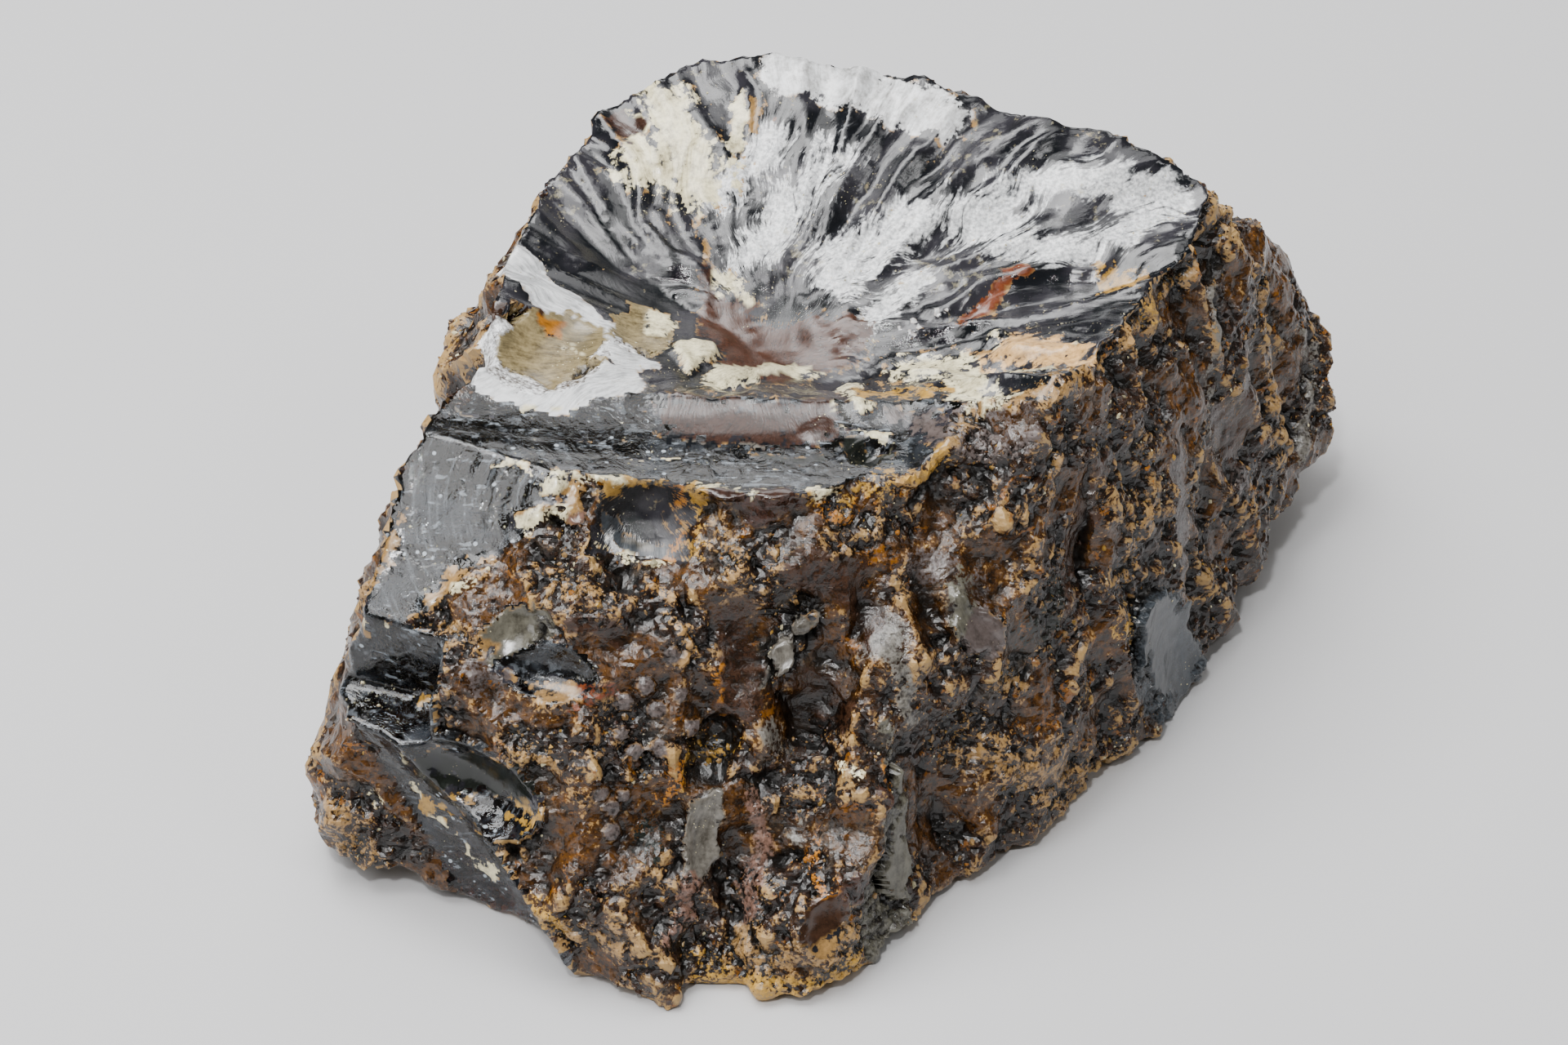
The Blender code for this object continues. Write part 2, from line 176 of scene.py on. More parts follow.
# Streaks and patches: tint, route, half width, how ragged the edge is (0 to 1), and then, where they
# aren't 0, how smooth the rind is made there (0 to 1) and how far it stands up.
streaks = [
    # the rim, the front and the right side
    ("cream", [(-38.6, -13.6, 39), (-32, -16.4, 38.8), (-26, -18.4, 38.2)], 0.4, 1, 0, 0.1),
    ("cream", [(-26, -18.6, 38.2), (-19, -19, 38), (-12, -19.8, 37.6), (-5, -20.4, 37.2), (2, -18.8, 36.4)],
     1.2, 1, 0, 0.35),
    ("gold", [(-24, -19.4, 37.6), (-12, -20.6, 37), (-3, -21, 36.6)], 0.8, 1, 0, 0.2),
    ("tan", [(2, -18, 36), (6, -17, 37), (8, -14, 38), (11, -10, 39), (18, -10, 41), (21, -7, 42)],
     1.3, 1, 0, 0.3),
    ("gold", [(0, -18, 36), (4, -18, 37), (8, -14, 38)], 0.8, 1, 0, 0.2),
    ("tan", [(22, -5, 41), (27, 5, 38), (32, 11, 40), (33, 15, 41)], 1.1, 1, 0, 0.2),
    ("tan", [(-24, -19, 37), (-26, -20, 36), (-29, -22, 36), (-31, -23, 34), (-34, -24, 31),
     (-36, -25, 30), (-38, -26, 28)],
     1.1, 1, 0, 0.5),
    ("cream", [(-26, -20, 36), (-30, -23, 35), (-35, -25, 30)], 0.5, 1, 0, 0.2),
    ("tan", [(-39, -16, 39), (-39, -19, 36), (-40.4, -20, 33), (-41.6, -22, 32), (-42.8, -24, 29),
     (-43.4, -25, 26)],
     0.8, 1, 0, 0.2),
    ("cream", [(-42.5, -25, 27.5), (-38, -26, 28)], 0.6, 0.6, 0, 0.15),
    ("gold", [(-38, -26.5, 20)], 0.9, 0.4, 0, 0.4),
    ("cream", [(-40, -32, 18), (-40, -30, 13), (-38, -30, 10), (-35, -31, 7), (-32, -33, 4)],
     0.7, 0.9, 0, 0.2),
    ("gold", [(-38, -30, 11), (-33, -34, 10), (-28, -40, 8), (-25, -43, 6)], 1.2, 1, 0, 0.3),
    ("cream", [(-43, -25, 21)], 1, 0.8),
    ("cream", [(-43, -29, 10)], 1.2, 0.8),
    ("tan", [(-47, -29, 8), (-45, -29, 4)], 2.5, 1),
    ("orange", [(-15, -19.5, 36.5), (-14.5, -21.5, 34)], 0.6, 0.8),
    # partly painted glow: the amber's own colour, made bright at the round chip's right edge
    ("amber", [(-16.2, -20, 36), (-16, -21.8, 33.4)], 1.5, 1, 0.3),
    # painted sheen: a grey arc over the round chip's lower left stands in for its reflection
    ("slate", [(-21.4, -20, 34.6), (-19.4, -21, 33.4), (-17, -21.2, 33.2)], 0.9, 0.8, 0.8),
    ("ash", [(-19.6, -20.6, 33.6), (-18, -20.9, 33.2)], 0.35, 1, 0.5),
    ("gold", [(-17.6, -18.6, 38), (-17.4, -19.4, 36.4)], 0.3, 0.8),
    ("gold", [(-20, -18, 38), (-16, -18, 38.2)], 0.6, 0.9),
    ("cream", [(-23, -22, 35), (-21, -22, 33), (-18, -23, 32), (-15, -23, 33)], 0.5, 0.9, 0, 0.25),
    ("tan", [(-32, -24, 34), (-28, -25, 33), (-24, -27, 33), (-21, -27, 31)], 1, 1, 0, 0.1),
    ("tan", [(-35, -27, 29), (-32, -29, 28), (-33, -31, 24)], 1, 1),
    ("lilac", [(-33, -31, 25), (-29, -30, 24)], 1.5, 0.9, 0.3),
    ("tan", [(-27, -31, 24), (-22, -32, 24), (-20, -33, 26)], 1.3, 1, 0, 0.1),
    ("red", [(-24, -32, 24), (-21, -31, 25)], 0.8, 1),
    ("bottle", [(-37, -32, 15), (-34, -32, 16), (-29, -35, 17)], 2.4, 0.8),
    ("gold", [(-34, -34, 14), (-30, -36, 14), (-28, -37, 15)], 0.8, 1, 0, 0.2),
    ("tan", [(-29, -34, 22), (-25, -36, 19), (-22, -38, 13)], 1, 1, 0, 0.2),
    ("orange", [(-12, -29, 27), (-11, -31, 22), (-12, -33, 19), (-15, -34, 18), (-16, -35, 16)],
     1.2, 0.9, 0, 0.3),
    ("gold", [(-12, -33, 19), (-15, -34, 17)], 0.9, 0.9, 0, 0.3),
    ("pink", [(-14, -39, 9), (-16, -42, 6)], 1.5, 0.8, 0.3, 0.2),
    ("bottle", [(-17, -37, 14), (-18, -38, 12)], 1.6, 0.8, 0.3),
    ("gold", [(-12, -42, 1), (-6, -45, 2), (1, -42, 2)], 2.2, 1),
    ("tan", [(-25, -43, 5), (-20, -44, 6)], 1.6, 1),
    ("maroon", [(-12, -21, 38), (-9, -21, 37), (-5, -21, 37)], 1.2, 0.7, 0.5),
    ("tan", [(-12, -22, 35), (-10, -25, 34), (-11, -27, 31)], 1.6, 1, 0, 0.1),
    ("brown", [(-5, -25, 33), (0, -23, 30), (2, -26, 27)], 2.2, 0.7, 0.6),
    ("orange", [(-2, -20, 36), (1, -19.5, 35.5)], 0.7, 1),
    ("white", [(5, -29, 23)], 1.3, 0.8, 0.8),
    ("ash", [(4, -24, 30), (3, -27, 24), (5, -29, 20)], 1.2, 0.8, 0.8),
    ("ash", [(-7, -32, 20)], 1.9, 0.8, 0.5, 0.1),
    ("cream", [(0, -33, 17)], 1.2, 0.9, 0, 0.2),
    ("maroon", [(3, -35, 15)], 1.7, 0.7, 0, 0.5),
    ("maroon", [(0, -39, 9)], 2, 0.7, 0, 0.5),
    ("orange", [(3.5, -33, 17.5), (5, -35, 14), (3, -37, 11)], 0.5, 1, 0, 0.1),
    ("orange", [(-4, -37, 13), (-2.5, -40, 10)], 0.9, 1, 0, 0.1),
    ("pink", [(-9, -34, 14), (-8, -36, 11), (-9, -39, 7), (-10, -41, 4)], 1.2, 0.8, 0.5, 0.3),
    ("tan", [(14, -23, 19), (16, -22, 17)], 1.4, 1, 0, 0.2),
    ("gold", [(25, -12, 17), (26, -11, 13)], 1, 1, 0, 0.2),
    ("bottle", [(14, -21, 22), (18, -18, 21), (20, -16, 24)], 1.8, 0.9, 0.2),
    ("lilac", [(30, 0, 27), (31, 0, 19), (31, -2, 13)], 1.4, 0.8, 0.6),
    ("lilac", [(36, 10, 24), (38, 10, 15)], 1.3, 0.8, 0.6),
    ("lilac", [(6, -20, 29), (11, -20, 27), (10, -22, 23)], 2, 1, 0.4),
    ("red", [(8, -21, 28), (12, -20, 25)], 0.7, 1),
    ("orange", [(33, 12, 39)], 0.9, 1),
    ("orange", [(24, -2, 41)], 0.7, 1),
    ("orange", [(27, -4, 29), (27, -4, 27)], 0.6, 0.9),
    ("orange", [(25, -6, 33)], 0.6, 0.9),
    ("tan", [(12, -25, 12), (20, -20, 5)], 3, 1),
    # the broken top
    ("maroon", [(-22, 29, 45), (-21, 28, 45)], 1.6, 0.5),
    ("lilac", [(-21, 26, 44), (-19, 26, 44)], 0.8, 0.5),
    ("cream", [(-17.4, 30, 46), (-15.4, 25, 44), (-14, 20.6, 42)], 2.9, 0.7, 0, 0.2),
    ("cream", [(-20, 24, 43), (-13, 22, 43)], 2.6, 0.8, 0, 0.2),
    ("cream", [(-10, 30, 46), (-11, 26, 45)], 1.1, 0.6, 0, 0.3),
    ("tan", [(-8.5, 30, 47), (-9, 27, 45.5)], 0.6, 0.7, 0, 0.2),
    ("white", [(-6, 32.5, 48), (0, 30.8, 48), (5, 28, 47), (9, 26, 47)], 2.7, 0.6, 0.3, 0.2),
    ("red", [(-7, 28, 46), (-6, 27, 45)], 0.8, 0.9),
    ("tan", [(-14, 18, 40), (-13, 14, 38), (-13, 10, 37)], 0.5, 0.8, 0, 0.2),
    ("maroon", [(-13, 13, 38), (-12, 8, 36)], 1.2, 0.8),
    ("cream", [(-11, 13, 38), (-9.5, 10, 37)], 1.2, 0.9, 0, 0.1),
    ("pit", [(-11, 7, 36), (-8, 4, 35), (-3, 6, 35.5)], 3, 0.6, 0.5),
    ("pit", [(-10, 1, 36), (-6, 2, 35), (0, 6, 36)], 2.2, 0.8, 0.4),
    ("white", [(-31.5, 10.5, 41), (-26, 5, 39), (-20, -1, 38)], 2.3, 0.25, 1),
    ("white", [(-33.5, 1, 41), (-32.5, -5, 40), (-27, -7, 39), (-21, -5, 38.5)], 2.4, 0.25, 1),
    ("cream", [(-17.5, 6.5, 37.5)], 1.7, 0.5, 0, 0.1),
    ("cream", [(-14, 2.5, 36.5), (-14.4, 1.5, 36.5)], 1.6, 0.3, 0, 0.9),
    ("brown", [(-32.4, 1.6, 41), (-31.4, 4.2, 40.6), (-28.6, 4.9, 39.9)], 0.9, 0.5, 0.6),
    ("cream", [(-26, 0.4, 39), (-24.4, -0.6, 39)], 0.8, 1),
    ("orange", [(-28.6, 3.6, 39.6), (-26.5, 3.2, 39.2)], 0.9, 0.7),
    ("red", [(15.5, 10.5, 40), (11, 6.6, 37.5)], 1, 0.5, 0, 0.1),
    ("cream", [(-13, -2.5, 36), (-10, 1, 35.5), (-5, 3, 35), (-1, 1, 35), (1, -7, 38)], 1.1, 0.9, 0, 0.3),
    ("cream", [(6, 1, 36), (10, -1, 37.5), (11, -7, 39)], 2.8, 0.9, 0, 0.1),
    ("gold", [(2, -4, 37), (7, -5, 38)], 1.4, 1, 0, 0.1),
    ("gold", [(24, 10, 40), (28, 5, 40)], 1.7, 1, 0, 0.1),
    ("peach", [(15.2, 0.3, 39.4), (17.2, -1.2, 40.2)], 2.9, 0.5),
    ("cream", [(12.2, 1.6, 38.6), (14.6, 4, 39.6), (18.6, 3.2, 40.6), (20.6, -1.5, 41.6),
     (19, -5.6, 42), (14, -6.4, 40.5)],
     0.7, 0.7, 0, 0.5),
    ("white", [(12, 0, 38.4), (12.6, -4, 39.6)], 0.4, 0.6, 0, 0.3),
    ("lilac", [(4, -9, 38), (8, -11, 38)], 1.7, 0.8, 0, 0.1),
    ("lilac", [(-3.2, -10.2, 37.2)], 1.3, 0.4, 0, 0.3),
    ("cream", [(-2, -7, 38), (-1, -10, 37.6), (3.4, -11, 37.4)], 0.45, 0.5, 0, 0.15),
    ("maroon", [(-15, -8.8, 38), (-8, -10, 37.6), (-3.4, -9.4, 37.6)], 2.9, 1, 0.4),
    # pale marks on the shelf
    ("ash", [(-36, -10, 39), (-31, -10.4, 39)], 0.22, 0.7),
    ("cream", [(-30, -8.6, 39), (-25, -8.2, 38.6)], 0.35, 1),
    ("ash", [(-26, -12.5, 38), (-20, -12.2, 38)], 0.2, 0.8),
    ("cream", [(-19, -14.6, 37.6), (-15, -15, 37.6)], 0.25, 0.9),
    ("ash", [(-14, -12, 37.6), (-8, -12.6, 37.4), (-3, -12, 37.4)], 0.2, 0.8),
    ("cream", [(-10, -16.2, 37.2), (-6, -16.6, 37.2)], 0.22, 0.9),
    ("cream", [(-3, -15.8, 37), (0, -16.4, 36.8)], 0.3, 1),
    ("bottle", [(-8, -14.4, 37.4), (-2, -14.6, 37.2)], 0.8, 0.8),
    ("bottle", [(0.2, -12.4, 37.2), (2.4, -13.6, 36.8)], 1.5, 0.25, 1),
    # the comb of short strokes beside the red sliver
    ("white", [(5, 2.4, 37), (4.2, 5.4, 37)], 0.34, 0.5, 1, 0.1),
    ("white", [(6.1, 2.8, 37.2), (5.3, 5.9, 37.2)], 0.34, 0.5, 1, 0.1),
    ("white", [(7.2, 3.2, 37.4), (6.4, 6.4, 37.6)], 0.34, 0.5, 1, 0.1),
    ("white", [(8.3, 3.6, 37.8), (7.5, 6.9, 38)], 0.34, 0.5, 1, 0.1),
    ("white", [(9.4, 4, 38.2), (8.6, 7.2, 38.4)], 0.34, 0.5, 1, 0.1),
    # the fluted right side
    ("ash", [(34, 14, 36), (35, 11, 33), (34, 9, 26), (32, 3, 20)], 0.9, 1, 0.5, 0.5),
    ("brown", [(37, 18, 33), (37.5, 15, 26), (36, 10, 18)], 1.6, 0.8, 0.5, -0.5),
    ("tan", [(40, 26, 30), (41, 20, 25), (41, 17, 20)], 1.1, 1, 0.2, 0.4),
    ("ash", [(46, 28, 21), (47, 26, 15), (45, 22, 10)], 1.2, 0.9, 0.3, 0.3),
    ("tan", [(19, -12, 36), (17, -15, 30), (15, -18, 27)], 0.9, 1, 0, 0.4),
    ("brown", [(22, -9, 33), (21, -12, 27), (20, -15, 22)], 1.6, 0.9, 0.5, -0.4),
    ("tan", [(27, -6, 24), (26, -11, 20)], 1.3, 1, 0, 0.2),
    ("drab", [(11, -21, 32), (9, -24, 26)], 1.5, 0.9, 0.6),
    ("drab", [(2, -31, 22), (4, -32, 19)], 1, 0.9, 0.5),
    # the front
    ("gold", [(-14, -20, 38), (-13, -21, 35), (-14, -23, 33)], 0.9, 0.9, 0, 0.1),
    ("brown", [(-10, -26, 29), (-10, -30, 22)], 1.8, 0.8, 0.7),
    ("brown", [(-3, -28, 22), (0, -30, 18)], 1.8, 0.8, 0.6),
    ("brown", [(-24, -29, 31), (-20, -29, 29)], 1.2, 0.9, 0.6),
    ("ash", [(-6, -33, 17), (-5, -36, 12)], 0.7, 1, 0.3, 0.2),
    ("tan", [(-17, -26, 32), (-14, -28, 28), (-15, -31, 25)], 0.9, 1, 0, 0.3),
    ("tan", [(-5, -26, 30), (-2, -29, 25), (-3, -33, 19)], 0.6, 1, 0, 0.3),
    ("tan", [(-10, -41, 4), (-5, -44, 4), (0, -42, 6)], 1.5, 1),
]
granules = {
    "at": [
        (-20, -32, 24), (-17, -32, 23), (-16, -29, 27), (-19, -34, 20), (-22, -36, 17), (-20, -37, 17),
        (-21, -37, 16), (-21, -38, 14), (-15, -31, 24), (-14, -32, 21), (-18, -31, 25), (-20, -34, 22),
        (-18.5, -34.5, 21.5), (-17, -33.5, 20),
    ],
    "radius": 0.75,
    "lift": 0.5,
}
# Where painted glare lies on the splintered face: route and half width.
glares = [
    ([(-12, 20, 42), (-7, 26, 45)], 2.4),
    ([(-20.8, -21, 34), (-18.4, -21.6, 33)], 1.5),
    ([(-11, 11, 37), (-6, 18, 41), (-1, 24, 44)], 2.6),
    ([(-6, 8, 37), (0, 13, 40), (6, 16.5, 42), (14, 17, 42)], 3.2),
    ([(-1, 5, 35.5), (3, 8, 37), (7, 11, 39)], 1.8),
    ([(15, 20, 43), (22, 19.5, 44), (31, 17, 44)], 2.6),
    ([(14, 13.5, 41), (21, 12.5, 41), (28, 15.5, 43)], 1.9),
]


def facing(azimuth, elevation):
    turn, rise = math.radians(azimuth), math.radians(elevation)
    return Vector((math.sin(turn) * math.cos(rise), -math.cos(turn) * math.cos(rise), math.sin(rise)))


def shown(name, data):
    made = bpy.data.objects.new(name, data)
    bpy.context.scene.collection.objects.link(made)
    return made


def swell(share):
    share = np.clip(share, 0.0, 1.0)
    return share * share * (3 - 2 * share)


def faded(distance, fade):
    # 1 on a break, 0 where it has run out into the rind
    return swell(fade["full"] - distance / fade["over"])


def noiseAt(points, size, shift=0.0):
    # one noise value for each point, -1 to 1; the shift picks another part of the noise
    return np.array([noise.noise(Vector(p)) for p in points / size + shift])


def crestsAt(points, size, shift=0.0, sharp=2.4):
    # 1 along lines where the noise changes sign, and lower away from them
    return 1 - sharp * np.abs(noiseAt(points, size, shift))


def cellsAt(points, size, shift):
    # distance to the nearest and the second nearest seed of a crackle, in cells
    near = [noise.voronoi(Vector(p))[0] for p in points / size + shift]
    return np.array([n[0] for n in near]), np.array([n[1] for n in near])


def offRoute(points, route):
    nearest = np.full(len(points), farOff)
    for start, end in zip(route, route[1:]):
        start, end = np.array(start, float), np.array(end, float)
        run = end - start
        share = np.clip((points - start) @ run / (run @ run), 0, 1)
        nearest = np.minimum(nearest, np.linalg.norm(points - start - share[:, None] * run, axis=1))
    return nearest


def topHeight(points):
    # height of the broken top over each point, which of its faces is there, and the place round the pit
    x, y = points[:, 0], points[:, 1]
    heights = [np.full(len(points), pitFloor)]
    for at, down, slope in basin.values():
        turn = math.radians(down)
        run = (x - at[0]) * math.sin(turn) - (y - at[1]) * math.cos(turn)
        heights.append(at[2] - run * math.tan(math.radians(slope)))
    heights = np.array(heights)
    which, high = heights.argmax(0), heights.max(0)
    aside, away = x - hackle["from"][0], y - hackle["from"][1]
    reach, turn = np.hypot(aside, away), np.arctan2(away, aside)
    half = hackle["rays"] / 2
    rays = np.stack([np.cos(turn) * half, np.sin(turn) * half, reach / hackle["length"]], 1)
    rough = swell((reach - hackle["starts"]) / hackle["full"])
    high = high + hackle["height"] * rough * crestsAt(rays, 1.0)
    over = y - shelf["middleY"]
    curve = np.where(over > 0, shelf["backCurve"], shelf["frontCurve"])
    front = shelf["height"] + curve * over * over
    front += shelf["leftRise"] * np.maximum(shelf["leftEnd"] - x, 0)
    front += shelf["rightRise"] * np.maximum(x - shelf["rightEnd"], 0)
    which = np.where(front < high, len(basinFaces) - 1, which)
    return np.minimum(high, front), which, reach, turn


def blowAxes(blow):
    turned = facing(*blow["faces"]).to_track_quat("Z", "Y").to_matrix().to_4x4()
    turned = turned @ Matrix.Rotation(math.radians(blow["turn"]), 4, "Z")
    return np.array(turned.to_3x3())


def blowSurface(points, blow):
    # how far each point is outside a blow's dished face, how far from its middle, and the face's way out
    axes = blowAxes(blow)
    local = (points - np.array(blow["at"])) @ axes
    wide, tall = blow["half"]
    u, v = local[:, 0] / wide, local[:, 1] / tall
    across = np.stack([local[:, 0], local[:, 1], np.full(len(points), blow["at"][0])], 1)
    deep = blow["dish"] * (1 - u**2 - v**2) + blowWaves["height"] * noiseAt(across, blowWaves["size"])
    return local[:, 2] + deep, np.maximum(np.abs(u), np.abs(v)), axes[:, 2]


def stepSurface(points):
    # how far each point is outside the block that was broken out of the front left corner
    turn = Matrix.Rotation(math.radians(step["faces"]), 4, "Z")
    turn = turn @ Matrix.Rotation(math.radians(step["lean"]), 4, "X")
    local = (points - np.array(step["at"])) @ np.array(turn.to_3x3())
    long, deep, high = step["size"]
    low, top = np.array((-long, -deep, 0.0)), np.array((0.0, 0.0, high))
    gap = np.maximum(low - local, local - top)
    return np.linalg.norm(np.maximum(gap, 0), axis=1) + np.minimum(gap.max(1), 0)


def column(items, name, kind=float, width=3):
    # one property of all the items, a row for each
    row = np.empty(len(items) * width, kind)
    items.foreach_get(name, row)
    return row.reshape(-1, width)


def readPoints(mesh):
    return column(mesh.vertices, "co") / mm + middle


def writePoints(mesh, points):
    mesh.vertices.foreach_set("co", ((points - middle) * mm).ravel())
    mesh.update()


def averaged(values, edges, count):
    # each point's mean of its neighbours
    total = np.zeros_like(values)
    np.add.at(total, edges[:, 0], values[edges[:, 1]])
    np.add.at(total, edges[:, 1], values[edges[:, 0]])
    return total / count.reshape((-1,) + (1,) * (values.ndim - 1))


def modified(piece):
    # the mesh that the object's modifiers make
    return bpy.data.meshes.new_from_object(piece.evaluated_get(bpy.context.evaluated_depsgraph_get()))


def thinOut(piece, mesh):
    # the flat base, the back and the far left are thinned first
    at, out = readPoints(mesh), column(mesh.vertices, "normal")
    back = (out[:, 1] > seenLeast["backward"]) & (out[:, 2] < seenLeast["upward"])
    seldom = (at[:, 2] < seenLeast["below"]) | back | (out[:, 0] < -seenLeast["leftward"])
    group = piece.vertex_groups.new(name="seen least")
    group.add(np.nonzero(seldom)[0].tolist(), 1.0, "REPLACE")
    thin = piece.modifiers.new("thin out", "DECIMATE")
    thin.ratio = min(1, lump["triangles"] / (2 * len(mesh.polygons)))
    thin.vertex_group, thin.vertex_group_factor = group.name, seenLeast["weight"]
    thinned = modified(piece)
    piece.modifiers.clear()
    piece.vertex_groups.clear()
    piece.data = thinned
    return thinned


print("scene: fine mesh of the lump")
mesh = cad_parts["amber"].data.copy()
body = shown("amberLump", mesh)
bm = bmesh.new()
bm.from_mesh(mesh)
bmesh.ops.remove_doubles(bm, verts=bm.verts[:], dist=lump["weld"] * mm)
bmesh.ops.recalc_face_normals(bm, faces=bm.faces[:])
bm.to_mesh(mesh)
bm.free()
remesh = body.modifiers.new("fine mesh", "REMESH")
remesh.mode = "VOXEL"
remesh.voxel_size = lump["voxel"] * mm
mesh = modified(body)
body.modifiers.clear()
body.data = mesh
mesh = thinOut(body, mesh)
print("scene: fine mesh has", len(mesh.vertices), "points and", len(mesh.polygons), "faces")
points = readPoints(mesh)
edges = column(mesh.edges, "vertices", int, 2)
count = np.bincount(edges.ravel(), minlength=len(points)).astype(float)
normals = column(mesh.vertices, "normal")

print("scene: finding the broken faces")
kindOf = {name: index for index, name in enumerate(["top", "step"] + list(blows))}
high, which, reach, turn = topHeight(points)
under = high - points[:, 2]
onTop = (under < fades["top"]["reach"]) & (normals[:, 2] > fades["top"]["upright"])
fresh = np.where(onTop, faded(under, fades["top"]), 0.0)  # 1 on a broken face, 0 on the rind
nearest = np.where(onTop, np.abs(under), farOff)
kind = np.where(onTop, kindOf["top"], -1)  # which break a point is on
target = points.copy()
target[onTop, 2] = high[onTop]
outside = stepSurface(points)
near = (outside < fades["step"]["reach"]) & (outside < nearest + fades["step"]["lead"])
fresh = np.where(near, np.maximum(fresh, faded(outside, fades["step"])), fresh)
kind = np.where(near & (outside < nearest), kindOf["step"], kind)
nearest = np.where(near, np.minimum(nearest, np.abs(outside)), nearest)
for name, blow in blows.items():
    search = max(blow["half"]) * fades["blow"]["reach"] * fades["blow"]["search"]
    where = np.nonzero(np.linalg.norm(points - np.array(blow["at"]), axis=1) < search)[0]
    beyond, off, axis = blowSurface(points[where], blow)
    mask = faded(-beyond, fades["blow"]) * (off < fades["blow"]["reach"])
    better = (mask > 0) & (np.abs(beyond) < nearest[where])
    chosen = where[better]
    kind[chosen] = kindOf[name]
    nearest[chosen] = np.abs(beyond[better])
    fresh[chosen] = np.maximum(mask[better], fresh[chosen] * 0.999)
    target[chosen] = points[chosen] - beyond[better, None] * axis
for name, (border, way) in facetEnds.items():
    fade = fades["facetEnd"]
    past = (points - np.array(border)) @ np.array(way) + fade["waver"] * noiseAt(points, fade["size"], 5.5)
    fresh *= np.where(kind == kindOf[name], faded(past, fade), 1)
for name, blow in blows.items():
    on = np.nonzero(kind == kindOf[name])[0]
    if blow["skin"] == "crust":
        fresh[on] = 0
    elif blow["skin"] != "glass":
        fade = fades["chip"]
        off = blowSurface(points[on], blow)[1]
        uneven = fade["clean"] if name in cleanEdged else fade["uneven"]
        fresh[on] *= swell((fade["full"] - off + uneven * noiseAt(points[on], 1.9, 6.6)) / fade["over"])
        target[on] += 0.2 * uneven * noiseAt(points[on], 1.3, 2.6)[:, None] * blowAxes(blow)[:, 2]
underside = points[:, 2] < sole["below"]
fresh[underside] = 0

print("scene: shaping the broken faces")
points = points + (target - points) * swell(fresh * 1.4)[:, None]
for name, ring in rings.items():
    on = np.nonzero(kind == kindOf[name])[0]
    off = np.linalg.norm(points[on] - np.array(ring["from"]), axis=1)
    wobble = noiseAt(points[on], 4.0, 3.1) * 0.9
    wave = np.sin((off / ring["spacing"] + wobble) * math.tau) * ring["height"]
    wave *= swell(1.6 - off / ring["reach"]) * fresh[on]
    spoke = (points[on] - np.array(ring["from"])) / np.maximum(off, 0.5)[:, None]
    wave += ring.get("rays", 0) * noiseAt(spoke, 0.2, 4.4) * swell(off / 3) * fresh[on]
    points[on] += wave[:, None] * np.array(facing(*blows[name]["faces"]))

# Fine splinters of the top, along the rays from the pit, and lines along its dark left face.
face = np.array(basinFaces)[which]
bent = 3.4 * noiseAt(points, 10.0, 1.7) + 1.0 * noiseAt(points, 3.6, 6.1)
bent = turn + bent / np.maximum(reach, 7)
far = np.log(np.maximum(reach, 1.5))
splinters = np.zeros(len(points))
for rays, height in splinterSets:
    fibre = np.stack([np.cos(bent) * rays, np.sin(bent) * rays, far * rays * 0.16], 1)
    splinters += height * crestsAt(fibre, 1.0, rays)
splinters += 0.22 * noiseAt(points, 2.4, 8.8) + 0.1 * noiseAt(points, 1.1, 9.9)
strength = np.array([splintered.get(name, 0.0) for name in basinFaces])[which] * swell((reach - 3) / 7)
lines = points - np.outer(points @ stripWay, stripWay) * 0.85
strips = np.zeros(len(points))
for size, shift, sharp, height in stripSets:
    strips += crestsAt(lines, size, shift, sharp) * height * (face == "striated")
strips += 0.06 * noiseAt(points * np.array((0.3, 1.0, 1.0)), 1.8, 3.0) * (face == "shelf")
strips += (0.6 * noiseAt(points, 4.5, 1.2) + 0.28 * noiseAt(points, 1.8, 2.4)) * swell((13 - reach) / 5)
strips += 0.1 * noiseAt(points, 3.2, 3.0) * (face == "white")
points[:, 2] += np.where(kind == kindOf["top"], splinters * strength + strips, 0) * fresh

print("scene: roughening the rind")
crust = 1 - swell(fresh * 1.3)
for _ in range(lump["smoothing"]):
    points += (averaged(points, edges, count) - points) * (0.6 * crust)[:, None]
writePoints(mesh, points)
normals = column(mesh.vertices, "normal")
for _ in range(3):
    normals = averaged(normals, edges, count)
normals /= np.linalg.norm(normals, axis=1)[:, None]
warp = np.stack([noiseAt(points, 6.0, s) for s in (11.3, 27.9, 41.2)], 1) * 1.2
firstBlock, secondBlock = cellsAt(points + warp, rind["blocks"]["size"], 2.0)
firstCrumb, secondCrumb = cellsAt(points + warp * 0.4, rind["crumbs"]["size"], 8.0)
block = np.clip((secondBlock - firstBlock) * 2.2, 0, 1)
crumb = np.clip((secondCrumb - firstCrumb) * 2.4, 0, 1)
grit = noiseAt(points, rind["grit"]["size"], 4.0)
patchy = swell(0.5 + noiseAt(points, 7.0, 9.0) * 1.4)
ridgeWay = np.array(rind["ridges"]["along"]) / np.linalg.norm(rind["ridges"]["along"])
drawn = points + warp * 0.7
drawn = drawn - np.outer(drawn @ ridgeWay, ridgeWay) * (1 - 1 / rind["ridges"]["longer"])
ridge = crestsAt(drawn, rind["ridges"]["size"], 13.0, 2.6)

